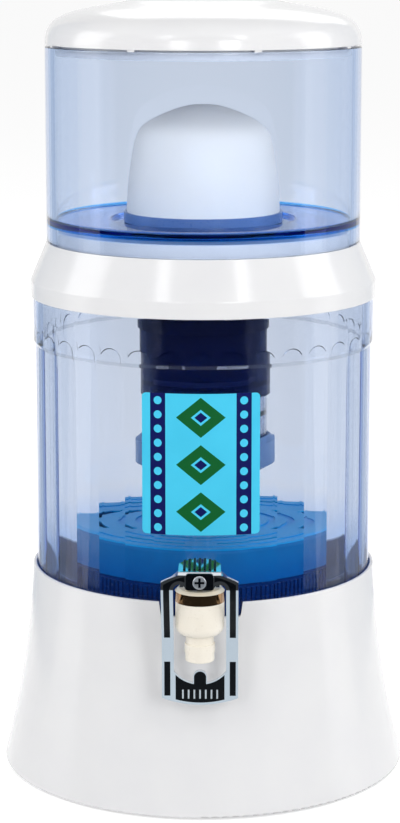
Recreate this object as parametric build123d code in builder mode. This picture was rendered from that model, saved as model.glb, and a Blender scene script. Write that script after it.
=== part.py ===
from build123d import *
import os
from math import cos, radians, sin, tan

# Gravity water filter with a push tap. Millimetres, +Z up, front towards -Y.
# The origin is on the table, on the vertical axis that the tanks share.

# ---------------------------------------------------------------- driving sizes

# Clearances
LOOSE = 0.3             # between bodies that lift off or pass each other
SOCKET_CLEAR = 0.5      # radial, between the lower tank and the stand
RUNNING = 0.05          # radial, between a shaft and its bore

# Stand
FOOT_PROUD = 1.5        # the rubber feet hold the rim this far off the table
STAND_HEIGHT = 121.7
STAND_FOOT_R = 121.9    # outer radius at the bottom edge
STAND_RIM_R = 103.1     # outer radius at the top rim
STAND_SAG = 3.3         # how far the flare curves in from a straight cone
STAND_WALL = 2.6
STAND_EDGE_ROUND = 1.2
RIM_ROUND = 0.8
SOCKET_DEPTH = 28.2     # the lower tank stands this deep in the stand
LEDGE_R = 84.0
LEDGE_THICK = 3.5
GUSSETS = 12
GUSSET_THICK = 2.4
GUSSET_DROP = 24.0
FOOT_COUNT = 4
FOOT_INSET = 12.9       # from the stand's bottom edge to the middle of each foot
FOOT_R = 7.0
FOOT_SEAT_DEPTH = 3.0
FOOT_BOSS_R = 9.5
FOOT_BOSS_HEIGHT = 12.0
FOOT_CHAMFER = 0.5
NOTCH_HALF_W = 24.0     # the notch in the rim that the tap passes through
NOTCH_TAPER = 1.3
NOTCH_ROUND = 1.5

# Lower tank
LOWER_R = 100.4
LOWER_HEIGHT = 191.0    # from its underside to the shoulder that the ring stands on
LOWER_FLOOR = 4.5
LOWER_CORNER = 6.0
LOWER_WALL = 4.3        # at the plain bore above the panels
BAND_HEIGHT = 28.5      # the slightly wider band at the top
BAND_PROUD = 1.1
BAND_CHAMFER = 3.0
LOWER_SPIGOT_WALL = 3.3
LOWER_SPIGOT_HEIGHT = 4.5
PANELS = 34             # flat panels with arched tops round the inside of the wall
PANEL_PROUD = 0.6       # how far a panel stands in from the plain bore, at its middle
PANEL_ROOT = 1.4        # how far it is rooted in the wall
PANEL_LAP = 0.3         # how far the panels run into each other
ARCH_ABOVE_BAND = 9.0   # the crown of each arch over the foot of the band
ARCH_RISE = 5.6

# Front label, a thin plate on the tank
LABEL_HALF_ANGLE = 19.3
LABEL_BOTTOM = 62.8     # above the floor of the lower tank
LABEL_HEIGHT = 81.5
LABEL_THICK = 0.3
LABEL_GAP = 0.05
LABEL_CORNER = 2.4

# Ring between the tanks
RING_HEIGHT = 32.4
RING_FOOT_R = 102.7
RING_WALL = 2.4
RING_BAND = 6.5         # the upright band at the foot of the cone
RING_CORNER = 2.5
DECK_DROP = 12.4        # from the top edge to the top of the inner deck
DECK_THICK = 2.5
PLATFORM_DROP = 1.0     # from the ring's top edge to the platform inside the spigot
PLATFORM_THICK = 2.0
PLATFORM_WALL = 2.2
PLATFORM_CLEAR = 0.6    # radial, inside the upper tank's spigot
PLATFORM_HOLE_R = 45.0  # the cartridge hangs through it
DECK_RIBS = 12
DECK_RIB_THICK = 2.0

# Upper tank
UPPER_R = 93.0
UPPER_WALL = 5.4
UPPER_HEIGHT = 114.6    # above the ring
UPPER_FLOOR_RISE = 13.3
UPPER_FLOOR = 2.0
RECESS_R = 55.0
RECESS_DEPTH = 2.0
UPPER_SPIGOT_HEIGHT = 11.4
UPPER_SPIGOT_WALL = 3.0
UPPER_SPIGOT_INSET = 3.0
SPOUT_RING_R = 30.0     # the threaded ring under the floor
SPOUT_RING_WALL = 4.0
SPOUT_RING_HEIGHT = 12.7

# Lid
LID_HEIGHT = 25.8
LID_GAP = 1.2
LID_WALL = 2.4
LID_WEB = 2.0
LIP_WALL = 2.0
LIP_DEPTH = 6.0
LIP_CLEAR = 0.4
TAB_COUNT = 8
TAB_WIDTH = 4.4
TAB_FROM = -25.0        # bearing of the first spacer tab

# Ceramic dome and its foot
DOME_R = 45.4
DOME_HEIGHT = 65.0
DOME_WALL = 8.0
DOME_CURVE = ((0.991, 0.2), (0.921, 0.594), (0.824, 0.783), (0.654, 0.872), (0.322, 0.968))
COLLAR_R = 47.0
COLLAR_RIM = 1.4
COLLAR_RIM_HEIGHT = 2.2
COLLAR_DISC = 2.4
COLLAR_SKIRT = 1.2
STEM_R = 6.0
STEM_BORE_R = 3.0
STEM_BELOW_FLOOR = 13.7
GASKET_R = 30.0
GASKET_THICK = 1.5
NUT_R = 10.0
NUT_HEIGHT = 9.0
NUT_SPAN = 40.0
NUT_WING_THICK = 3.2
NUT_WING_HEIGHT = 7.0

# Cartridge, hung from the upper tank
HEAD_WALL = 3.6         # the threaded collar round the spout ring
HEAD_FLOOR = 3.0
HEAD_R = 39.4
HEAD_SKIRT = 43.5       # below the head's floor
HEAD_WALL_SKIRT = 2.9
HEAD_SHOULDER = 5.0
SEAL_THICK = 2.0
SEAL_INSET = 0.2
BODY_R = 38.2
BODY_HEIGHT = 40.5      # what shows below the head
BODY_WALL = 2.0
BODY_NECK = 25.5        # what is inside the head
BODY_SKIRT = 6.0        # the socket at the body's foot
SOCKET_WALL = 2.5
CART_FLOOR = 3.0
SLEEVE_R = 37.2
SLEEVE_HEIGHT = 25.0    # what shows between the body and the foot cap
SLEEVE_WALL = 2.0
SLEEVE_NECK = 5.7
PARTITION_THICK = 3.0
PARTITION_DROP = 10.0
CAP_R = 39.9
CAP_HEIGHT = 21.0
CAP_CLASP = 11.0        # how far the cap wraps up round the sleeve
CAP_SHOULDER = 3.0
CAP_CHAMFER = 4.0
CAP_LIP = 0.6
CAP_FLOOR = 3.0
CAP_WALL = 5.2
PAD_THICK = 3.0
WATER_HOLES = 8
WATER_HOLE_R = 2.6
CAP_SLOTS = 10
CAP_SLOT_LENGTH = 16.0
CAP_SLOT_WIDTH = 2.6

# Mineral case, on the floor of the lower tank
CASE_R = 75.0
CASE_BASE_HEIGHT = 26.8
CASE_LID_HEIGHT = 21.0
CASE_WALL = 2.2
CASE_FLOOR = 2.4
CASE_RIBS = 180
CASE_RIB_PROUD = 1.2
CASE_RIB_WIDTH = 1.4
CASE_EDGE_ROUND = 2.6
CASE_NECK = 4.7
RIPPLE_RADII = (11.0, 25.0, 39.0, 53.0, 67.0)
RIPPLE_WIDTH = 2.0
RIPPLE_DEPTH = 0.6
SLOT_RADII = (18.0, 32.0, 46.0, 60.0)
SLOT_COUNTS = (2, 3, 4, 6)
SLOT_SWEEPS = (130.0, 80.0, 62.0, 42.0)
SLOT_WIDTH = 2.4
STONE_COUNTS = (1, 5, 10)
STONE_SHARES = (0.0, 0.37, 0.755)  # where the rings of stones lie in the case's bore
STONE_SHARE = 0.17      # a stone's radius in the same measure
STONE_SIDES = 9
STONE_HEIGHT = 17.0
STONE_BEVEL = 4.0

# Tap
TAP_REACH = 35.6        # from the tank wall to the middle of the barrel
SHANK_ABOVE_SEAT = 31.5
SHANK_R = 7.3
SHANK_BORE_R = 4.6
SHANK_TAIL = 12.2       # past the inner washer
BOSS_R = 11.2
BOSS_PROUD = 1.6
BOSS_INSIDE = 1.4
NOTCH_CLEAR = 0.4
TAP_FLANGE_R = 11.0
TAP_FLANGE = 3.0
WASHER_THICK = 2.0
TAP_NUT_FLATS = 21.0
TAP_NUT_THICK = 7.0
BARREL_R = 13.6
BARREL_ABOVE_SHANK = 7.9
BARREL_BELOW_SHANK = 11.5
BARREL_ROUND = 5.6
BARREL_BORE_R = 9.6
BARREL_FLOOR = 3.0
SEAT_R = 5.0
SEAT_RISE = 2.5         # from the foot of the barrel to the valve seat
NECK_R = 7.8
NECK_LENGTH = 4.9
NOZZLE_RING_R = 8.5
NOZZLE_RING = 5.0
LIP_R = 8.1
LIP_LENGTH = 5.1
NOZZLE_BORE_R = 6.2
THREAD_NECK_R = 11.6
THREAD_NECK = 4.6
BONNET_R = 13.75
BONNET_SIDE = 5.9
BONNET_TOP_R = 12.0
BONNET_HEIGHT = 7.6
BONNET_ROOF = 2.7
VALVE_R = 7.4
VALVE_DISC = 3.0
VALVE_HUB_R = 4.0
VALVE_HUB = 2.5
VALVE_STEM_R = 2.4
STEM_HEAD_R = 4.0
STEM_HEAD = 1.8
STEM_HEAD_ABOVE = 5.6   # from the bonnet's roof to the underside of the stem's head
SPRING_R = 6.4
SPRING_WIRE = 1.0
SPRING_TURNS = 5

# Lever, a yoke that hangs from a pin across the bonnet's ears. Its heights are from the
# bonnet's roof: up to the head, and down to the push plate.
PIN_R = 1.5
PIN_FORWARD = 6.0       # from the valve's axis to the pin
PIN_ABOVE = 6.8
EAR_R = 2.4
EAR_INNER = 5.2
EAR_THICK = 2.8
LEVER_THICK = 3.0
LEVER_BEND = 2.2        # radius of the bend into the crown, at mid thickness
LEVER_FACE = 13.5       # from the valve's axis to the lever's front face
LEVER_HALF_W = 21.3
LEVER_UP = 11.5         # to the top of the arch
SHOULDER_UP = 6.0       # to the ends of the arch
CROWN_HALF_W = 12.5
CROWN_REAR_HALF_W = 11.0
CROWN_RISE = 2.8        # the crown climbs towards its rear
CROWN_DEPTH = 20.0
CROWN_BOW = 9.0         # how far the crown's rear edge bows out
NECK_DOWN = 1.0         # the legs are upright to here
KNEE_DOWN = 30.0
KNEE_BACK = 17.0        # how far the legs slope back between neck and knee
TOE_BACK = 2.7          # and how much further from the knee to the foot
LEG_DOWN = 66.0         # to the outer corners of the foot
FOOT_DOWN = 70.0        # to the middle of the foot's bow
WINDOW_HALF_W = 14.6
WINDOW_ARCH_UP = 4.8    # to the arches at both sides of the head block
PLATE_DOWN = 57.6       # to the top edge of the push plate, in its middle
PLATE_SIDE_DOWN = 50.3
TONGUE_HALF_W = 3.8
TONGUE_DOWN = 49.8
BLOCK_HALF_W = 7.6
BLOCK_UP = 1.8          # to the underside of the head block
BLOCK_HEIGHT = 9.2
BLOCK_PROUD = 1.0
BLOCK_ROUND = 1.5
CHEEK_THICK = 2.0
CHEEK_UP = 3.0
CHEEK_DEPTH = 17.0
GRIP_RIBS = 7
GRIP_RIB_PITCH = 2.8
GRIP_RIB_WIDTH = 1.3
GRIP_RIB_PROUD = 0.7
GRIP_FROM = 3.5         # from the lever's face to the front end of the ribs
LIFT_TAB_THICK = 1.4
LIFT_TAB_FRONT = 2.9    # from the valve's axis
LIFT_TAB_REAR = 5.0
LIFT_TAB_GAP = 1.0      # under the stem's head
LIFT_NUB_GAP = 0.2
LIFT_NUB_LENGTH = 1.2
LIFT_NUB_WIDTH = 1.0
FORK_HALF_W = 2.8
INLAY_DEPTH = 1.0
INLAY_RIM = 1.3
WINDOW_RIM = 2.0        # bright edge between the legs' inlays and the opening
INLAY_GAP = 0.6         # bright line between the head block and the shoulder inlays
PAD_HALF_W = 13.7
PAD_RIM = 0.4
BRIDGE_TOP_DOWN = 30.0  # bright bridge between the upper and lower inlays
BRIDGE_FOOT_DOWN = 44.4
SLOT_FOOT_DOWN = 64.6
SCREW_HEAD_R = 3.8
SCREW_HEAD = 1.4
SCREW_SHAFT_R = 1.4
SCREW_SHAFT = 3.4
SCREW_UP = 6.4
SCREW_SLOT = 1.3
SCREW_SLOT_LENGTH = 5.4
SCREW_SLOT_DEPTH = 0.9

# ---------------------------------------------------------------- derived levels

STAND_TOP = FOOT_PROUD + STAND_HEIGHT
TANK_SEAT = STAND_TOP - SOCKET_DEPTH
LEDGE_UNDER = TANK_SEAT - LEDGE_THICK
SOCKET_R = LOWER_R + SOCKET_CLEAR
FOOT_CIRCLE_R = STAND_FOOT_R - FOOT_INSET
LOWER_FLOOR_TOP = TANK_SEAT + LOWER_FLOOR
LOWER_SHOULDER = TANK_SEAT + LOWER_HEIGHT
BAND_FOOT = LOWER_SHOULDER - BAND_HEIGHT
LOWER_BORE_R = LOWER_R - LOWER_WALL
LOWER_SPIGOT_R = LOWER_BORE_R + LOWER_SPIGOT_WALL
RING_TOP = LOWER_SHOULDER + RING_HEIGHT
UPPER_FLOOR_TOP = RING_TOP + UPPER_FLOOR_RISE
RECESS_FLOOR = UPPER_FLOOR_TOP - RECESS_DEPTH
UPPER_UNDERSIDE = RECESS_FLOOR - UPPER_FLOOR
UPPER_RIM = RING_TOP + UPPER_HEIGHT
UPPER_BORE_R = UPPER_R - UPPER_WALL
UPPER_SPIGOT_R = UPPER_R - UPPER_SPIGOT_INSET
LID_BOTTOM = UPPER_RIM + LID_GAP
LID_TOP = LID_BOTTOM + LID_HEIGHT
LIP_R_OUT = UPPER_BORE_R - LIP_CLEAR

COLLAR_UNDER = RECESS_FLOOR + GASKET_THICK
DOME_BASE = COLLAR_UNDER + COLLAR_DISC
STEM_END = UPPER_UNDERSIDE - STEM_BELOW_FLOOR

SPOUT_END = UPPER_UNDERSIDE - SPOUT_RING_HEIGHT
HEAD_FLOOR_TOP = SPOUT_END - SEAL_THICK
HEAD_FLOOR_UNDER = HEAD_FLOOR_TOP - HEAD_FLOOR
HEAD_BORE_R = SPOUT_RING_R + LOOSE
HEAD_FOOT = HEAD_FLOOR_UNDER - HEAD_SKIRT
NECK_TOP = HEAD_FOOT + BODY_NECK
BODY_NECK_R = HEAD_R - HEAD_WALL_SKIRT - LOOSE
BODY_BORE_R = BODY_NECK_R - BODY_WALL
BODY_FOOT = HEAD_FOOT - BODY_HEIGHT
BODY_FLOOR_UNDER = BODY_FOOT + BODY_SKIRT
BODY_FLOOR_TOP = BODY_FLOOR_UNDER + CART_FLOOR
SLEEVE_NECK_R = BODY_R - SOCKET_WALL - LOOSE
SLEEVE_BORE_R = SLEEVE_NECK_R - SLEEVE_WALL
CAP_TOP = BODY_FOOT - SLEEVE_HEIGHT
CAP_FOOT = CAP_TOP - CAP_HEIGHT
SLEEVE_FOOT = CAP_TOP - CAP_CLASP
PARTITION_TOP = BODY_FOOT - PARTITION_DROP

CASE_SPLIT = LOWER_FLOOR_TOP + CASE_BASE_HEIGHT
CASE_TOP = CASE_SPLIT + CASE_LID_HEIGHT

SHANK_Z = TANK_SEAT + SHANK_ABOVE_SEAT
BOSS_FACE = LOWER_R + BOSS_PROUD
BOSS_BACK = LOWER_BORE_R - PANEL_PROUD - BOSS_INSIDE
NOTCH_FLOOR = SHANK_Z - BOSS_R - NOTCH_CLEAR
TAP_Y = -(LOWER_R + TAP_REACH)
FLANGE_BACK = BOSS_FACE + WASHER_THICK
SHANK_END = BOSS_BACK - WASHER_THICK - SHANK_TAIL
BARREL_TOP = SHANK_Z + BARREL_ABOVE_SHANK
BARREL_FOOT = SHANK_Z - BARREL_BELOW_SHANK
RING_FOOT_Z = BARREL_FOOT - NECK_LENGTH - NOZZLE_RING
NOZZLE_END = RING_FOOT_Z - LIP_LENGTH
VALVE_SEAT = BARREL_FOOT + SEAT_RISE
BONNET_TOP = BARREL_TOP + BONNET_HEIGHT
PIN_Y = TAP_Y - PIN_FORWARD
PIN_Z = BONNET_TOP + PIN_ABOVE
STEM_HEAD_UNDER = BONNET_TOP + STEM_HEAD_ABOVE
LEVER_FRONT = TAP_Y - LEVER_FACE
TAP_AXIS = Axis((0, TAP_Y, 0), (0, 0, 1))
TAP_PLANE = Plane(origin=(0, TAP_Y, 0), x_dir=(1, 0, 0), z_dir=(0, -1, 0))
FRONT_REACH = 2 * abs(TAP_Y)    # long enough to cut through the lever from its front


def flare(z):
    """Outer radius of the stand at height z."""
    t = (STAND_TOP - z) / STAND_HEIGHT
    return STAND_RIM_R + (STAND_FOOT_R - STAND_RIM_R) * t - 4 * STAND_SAG * t * (1 - t)


def radial_plane(bearing):
    """Upright plane through the axis: local x points outwards, local y up."""
    a = radians(bearing)
    return Plane(origin=(0, 0, 0), x_dir=(cos(a), sin(a), 0), z_dir=(sin(a), -cos(a), 0))


def tangent_plane(bearing, radius):
    """Upright plane square to a bearing at a radius: it faces outwards, local y is up."""
    a = radians(bearing)
    return Plane(
        origin=(radius * cos(a), radius * sin(a), 0),
        x_dir=(-sin(a), cos(a), 0),
        z_dir=(cos(a), sin(a), 0),
    )


def outline(*points):
    """A closed straight-sided face in the sketch that is open."""
    Polygon(*points, align=None)


def ring_block(inner, outer, low, high):
    """A rectangular section, to be revolved about the axis."""
    outline((inner, low), (outer, low), (outer, high), (inner, high))


# ---------------------------------------------------------------- stand

with BuildPart() as base_stand:
    with BuildSketch(Plane.XZ):
        middle = FOOT_PROUD + STAND_HEIGHT / 2
        inner_middle = (FOOT_PROUD + LEDGE_UNDER) / 2
        inner_foot = (flare(FOOT_PROUD) - STAND_WALL, FOOT_PROUD)
        inner_head = (flare(LEDGE_UNDER) - STAND_WALL, LEDGE_UNDER)
        with BuildLine():
            ThreePointArc(
                (STAND_RIM_R, STAND_TOP), (flare(middle), middle), (STAND_FOOT_R, FOOT_PROUD)
            )
            Line((STAND_FOOT_R, FOOT_PROUD), inner_foot)
            ThreePointArc(inner_foot, (flare(inner_middle) - STAND_WALL, inner_middle), inner_head)
            Polyline(
                inner_head,
                (LEDGE_R, LEDGE_UNDER),
                (LEDGE_R, TANK_SEAT),
                (SOCKET_R, TANK_SEAT),
                (SOCKET_R, STAND_TOP),
                (STAND_RIM_R, STAND_TOP),
            )
        make_face()
        fillet(vertices().group_by(Axis.Y)[-1], RIM_ROUND)
        fillet(vertices().group_by(Axis.Y)[0].sort_by(Axis.X)[-1], STAND_EDGE_ROUND)
    revolve(axis=Axis.Z)
    for index in range(GUSSETS):
        with BuildSketch(radial_plane((index + 0.5) * 360 / GUSSETS)):
            root = LEDGE_UNDER + LEDGE_THICK / 2
            wall_foot = flare(LEDGE_UNDER - GUSSET_DROP) - STAND_WALL / 2
            outline(
                (LEDGE_R + STAND_WALL, root),
                (flare(LEDGE_UNDER) - STAND_WALL / 2, root),
                (wall_foot, LEDGE_UNDER - GUSSET_DROP),
            )
    extrude(amount=GUSSET_THICK / 2, both=True)
    with BuildSketch(Plane.XY.offset(FOOT_PROUD)):
        with PolarLocations(FOOT_CIRCLE_R, FOOT_COUNT, start_angle=45):
            Circle(FOOT_BOSS_R)
    extrude(amount=FOOT_BOSS_HEIGHT)
    with BuildSketch(Plane.XY.offset(FOOT_PROUD)):
        with PolarLocations(FOOT_CIRCLE_R, FOOT_COUNT, start_angle=45):
            Circle(FOOT_R + LOOSE)
    extrude(amount=FOOT_SEAT_DEPTH, mode=Mode.SUBTRACT)
    with BuildSketch(Plane.XZ.offset(LEDGE_R)):
        outline(
            (-NOTCH_HALF_W, STAND_TOP + RIM_ROUND),
            (NOTCH_HALF_W, STAND_TOP + RIM_ROUND),
            (NOTCH_HALF_W - NOTCH_TAPER, NOTCH_FLOOR),
            (NOTCH_TAPER - NOTCH_HALF_W, NOTCH_FLOOR),
        )
        fillet(vertices().group_by(Axis.Y)[0], NOTCH_ROUND)
    extrude(amount=STAND_FOOT_R - LEDGE_R, mode=Mode.SUBTRACT)

with BuildPart() as rubber_feet:
    with BuildSketch(Plane.XY):
        with PolarLocations(FOOT_CIRCLE_R, FOOT_COUNT, start_angle=45):
            Circle(FOOT_R)
    extrude(amount=FOOT_PROUD + FOOT_SEAT_DEPTH)
    chamfer(edges().group_by(Axis.Z)[0], FOOT_CHAMFER)

# ---------------------------------------------------------------- lower tank

PANEL_HALF_W = (LOWER_BORE_R - PANEL_PROUD) * tan(radians(180 / PANELS)) + PANEL_LAP
ARCH_TOP = BAND_FOOT + ARCH_ABOVE_BAND

with BuildPart() as lower_tank:
    with BuildSketch(Plane.XZ):
        outline(
            (0, TANK_SEAT),
            (LOWER_R, TANK_SEAT),
            (LOWER_R, BAND_FOOT),
            (LOWER_R + BAND_PROUD, BAND_FOOT + BAND_CHAMFER),
            (LOWER_R + BAND_PROUD, LOWER_SHOULDER),
            (LOWER_SPIGOT_R, LOWER_SHOULDER),
            (LOWER_SPIGOT_R, LOWER_SHOULDER + LOWER_SPIGOT_HEIGHT),
            (LOWER_BORE_R, LOWER_SHOULDER + LOWER_SPIGOT_HEIGHT),
            (LOWER_BORE_R, LOWER_FLOOR_TOP),
            (0, LOWER_FLOOR_TOP),
        )
        fillet(vertices().group_by(Axis.Y)[0].sort_by(Axis.X)[-1], LOWER_CORNER)
    revolve(axis=Axis.Z)
    for index in range(PANELS):
        with BuildSketch(tangent_plane(index * 360 / PANELS - 90, LOWER_BORE_R - PANEL_PROUD)):
            with BuildLine():
                Polyline(
                    (-PANEL_HALF_W, ARCH_TOP - ARCH_RISE),
                    (-PANEL_HALF_W, LOWER_FLOOR_TOP - LOWER_FLOOR / 2),
                    (PANEL_HALF_W, LOWER_FLOOR_TOP - LOWER_FLOOR / 2),
                    (PANEL_HALF_W, ARCH_TOP - ARCH_RISE),
                )
                ThreePointArc(
                    (-PANEL_HALF_W, ARCH_TOP - ARCH_RISE),
                    (0, ARCH_TOP),
                    (PANEL_HALF_W, ARCH_TOP - ARCH_RISE),
                )
            make_face()
    extrude(amount=PANEL_PROUD + PANEL_ROOT)
    with BuildSketch(Plane.XZ.offset(BOSS_BACK)):
        with Locations((0, SHANK_Z)):
            Circle(BOSS_R)
    extrude(amount=BOSS_FACE - BOSS_BACK)
    with BuildSketch(Plane.XZ.offset(BOSS_BACK)):
        with Locations((0, SHANK_Z)):
            Circle(SHANK_R + LOOSE)
    extrude(amount=BOSS_FACE - BOSS_BACK, mode=Mode.SUBTRACT)

with BuildPart() as front_label:
    with BuildSketch(radial_plane(-90 - LABEL_HALF_ANGLE)):
        label_foot = LOWER_FLOOR_TOP + LABEL_BOTTOM
        label_r = LOWER_R + LABEL_GAP
        ring_block(label_r, label_r + LABEL_THICK, label_foot, label_foot + LABEL_HEIGHT)
    revolve(axis=Axis.Z, revolution_arc=2 * LABEL_HALF_ANGLE)
    corners = edges().filter_by(GeomType.LINE).filter_by(lambda edge: edge.length < 2 * LABEL_THICK)
    fillet(corners, LABEL_CORNER)

# ---------------------------------------------------------------- ring between the tanks

with BuildPart() as ring_cover:
    with BuildSketch(Plane.XZ):
        band_top = LOWER_SHOULDER + RING_BAND
        spigot_clear = LOWER_SPIGOT_R + LOOSE
        inner_band = LOWER_SHOULDER + LOWER_SPIGOT_HEIGHT + LOOSE
        slope = (RING_FOOT_R - UPPER_R) / (RING_HEIGHT - RING_BAND)
        deck_top = RING_TOP - DECK_DROP
        deck_under = deck_top - DECK_THICK
        platform_r = UPPER_SPIGOT_R - UPPER_SPIGOT_WALL - PLATFORM_CLEAR
        platform_top = RING_TOP - PLATFORM_DROP
        platform_under = platform_top - PLATFORM_THICK
        outline(
            (RING_FOOT_R, LOWER_SHOULDER),
            (RING_FOOT_R, band_top),
            (UPPER_R, RING_TOP),
            (UPPER_SPIGOT_R + LOOSE, RING_TOP),
            (UPPER_R + slope * DECK_DROP - RING_WALL, deck_top),
            (platform_r, deck_top),
            (platform_r, platform_top),
            (PLATFORM_HOLE_R, platform_top),
            (PLATFORM_HOLE_R, platform_under),
            (platform_r - PLATFORM_WALL, platform_under),
            (platform_r - PLATFORM_WALL, deck_under),
            (UPPER_R + slope * (DECK_DROP + DECK_THICK) - RING_WALL, deck_under),
            (spigot_clear, inner_band + RING_WALL),
            (spigot_clear, LOWER_SHOULDER),
        )
        fillet(vertices().sort_by_distance((RING_FOOT_R, band_top))[0], RING_CORNER)
    revolve(axis=Axis.Z)
    for index in range(DECK_RIBS):
        with BuildSketch(radial_plane((index + 0.5) * 360 / DECK_RIBS)):
            outline(
                (platform_r, deck_under + DECK_THICK / 2),
                (UPPER_R + slope * DECK_DROP - RING_WALL / 2, deck_under + DECK_THICK / 2),
                (spigot_clear + RING_WALL / 2, inner_band + RING_WALL),
            )
    extrude(amount=DECK_RIB_THICK / 2, both=True)

# ---------------------------------------------------------------- upper tank and lid

with BuildPart() as upper_tank:
    with BuildSketch(Plane.XZ):
        spigot_foot = RING_TOP - UPPER_SPIGOT_HEIGHT
        skirt_bore = UPPER_SPIGOT_R - UPPER_SPIGOT_WALL
        outline(
            (UPPER_R, RING_TOP),
            (UPPER_R, UPPER_RIM),
            (UPPER_BORE_R, UPPER_RIM),
            (UPPER_BORE_R, UPPER_FLOOR_TOP),
            (RECESS_R, UPPER_FLOOR_TOP),
            (RECESS_R - RECESS_DEPTH, RECESS_FLOOR),
            (STEM_R + LOOSE, RECESS_FLOOR),
            (STEM_R + LOOSE, UPPER_UNDERSIDE),
            (SPOUT_RING_R - SPOUT_RING_WALL, UPPER_UNDERSIDE),
            (SPOUT_RING_R - SPOUT_RING_WALL, SPOUT_END),
            (SPOUT_RING_R, SPOUT_END),
            (SPOUT_RING_R, UPPER_UNDERSIDE),
            (RECESS_R - RECESS_DEPTH + UPPER_FLOOR / 2, UPPER_UNDERSIDE),
            (RECESS_R + UPPER_FLOOR / 2, UPPER_FLOOR_TOP - UPPER_FLOOR),
            (skirt_bore, UPPER_FLOOR_TOP - UPPER_FLOOR),
            (skirt_bore, spigot_foot),
            (UPPER_SPIGOT_R, spigot_foot),
            (UPPER_SPIGOT_R, RING_TOP),
        )
    revolve(axis=Axis.Z)


def lid_line(inset):
    """Half outline of the lid's dome, set in from its outside, from the rim to the crown."""
    Spline(
        (UPPER_R - inset, LID_BOTTOM),
        (0.839 * UPPER_R - inset, LID_BOTTOM + 0.7 * LID_HEIGHT - inset / 2),
        (0.54 * UPPER_R - inset / 2, LID_TOP - 0.085 * LID_HEIGHT - inset),
        (0, LID_TOP - inset),
        tangents=[(0, 1), (-1, 0)],
    )


with BuildPart() as lid:
    with BuildSketch(Plane.XZ):
        with BuildLine():
            lid_line(0)
            Line((0, LID_TOP), (0, LID_TOP - LID_WALL))
            lid_line(LID_WALL)
            Line((UPPER_R - LID_WALL, LID_BOTTOM), (UPPER_R, LID_BOTTOM))
        make_face()
        ring_block(LIP_R_OUT - LIP_WALL, UPPER_R - LID_WALL / 2, LID_BOTTOM, LID_BOTTOM + LID_WEB)
        ring_block(LIP_R_OUT - LIP_WALL, LIP_R_OUT, LID_BOTTOM - LIP_DEPTH, LID_BOTTOM + LID_WEB)
    revolve(axis=Axis.Z)
    with BuildSketch(Plane.XY.offset(UPPER_RIM)):
        with PolarLocations(UPPER_R - UPPER_WALL / 2, TAB_COUNT, start_angle=TAB_FROM):
            Rectangle(UPPER_WALL - 2 * LIP_CLEAR, TAB_WIDTH)
    extrude(amount=LID_GAP)

# ---------------------------------------------------------------- ceramic dome


def dome_line(inset):
    """Half outline of the dome, set in from its outside, from its foot to its crown."""
    radius = DOME_R - inset
    height = DOME_HEIGHT - inset
    Spline(
        (radius, DOME_BASE),
        *[(radius * across, DOME_BASE + height * up) for across, up in DOME_CURVE],
        (0, DOME_BASE + height),
        tangents=[(0, 1), (-1, 0)],
    )


with BuildPart() as ceramic_dome:
    with BuildSketch(Plane.XZ):
        with BuildLine():
            dome_line(0)
            Line((0, DOME_BASE + DOME_HEIGHT), (0, DOME_BASE + DOME_HEIGHT - DOME_WALL))
            dome_line(DOME_WALL)
            Line((DOME_R - DOME_WALL, DOME_BASE), (DOME_R, DOME_BASE))
        make_face()
    revolve(axis=Axis.Z)

with BuildPart() as dome_collar:
    with BuildSketch(Plane.XZ):
        outline(
            (STEM_BORE_R, STEM_END),
            (STEM_R, STEM_END),
            (STEM_R, COLLAR_UNDER),
            (COLLAR_R - 2 * COLLAR_RIM, COLLAR_UNDER),
            (COLLAR_R - 2 * COLLAR_RIM, COLLAR_UNDER - COLLAR_SKIRT),
            (COLLAR_R, COLLAR_UNDER - COLLAR_SKIRT),
            (COLLAR_R, DOME_BASE + COLLAR_RIM_HEIGHT),
            (COLLAR_R - COLLAR_RIM, DOME_BASE + COLLAR_RIM_HEIGHT),
            (COLLAR_R - COLLAR_RIM, DOME_BASE),
            (STEM_BORE_R, DOME_BASE),
        )
    revolve(axis=Axis.Z)

with BuildPart() as dome_gasket:
    with BuildSketch(Plane.XZ):
        ring_block(STEM_R + LOOSE, GASKET_R, RECESS_FLOOR, COLLAR_UNDER)
    revolve(axis=Axis.Z)

with BuildPart() as dome_wing_nut:
    with BuildSketch(Plane.XY.offset(UPPER_UNDERSIDE)):
        Circle(NUT_R)
    extrude(amount=-NUT_HEIGHT)
    with BuildSketch(Plane.XY.offset(UPPER_UNDERSIDE - (NUT_HEIGHT - NUT_WING_HEIGHT))):
        SlotOverall(NUT_SPAN, NUT_WING_THICK)
    extrude(amount=-NUT_WING_HEIGHT)
    with BuildSketch(Plane.XY.offset(UPPER_UNDERSIDE)):
        Circle(STEM_R + RUNNING)
    extrude(amount=-NUT_HEIGHT, mode=Mode.SUBTRACT)

# ---------------------------------------------------------------- cartridge

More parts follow.
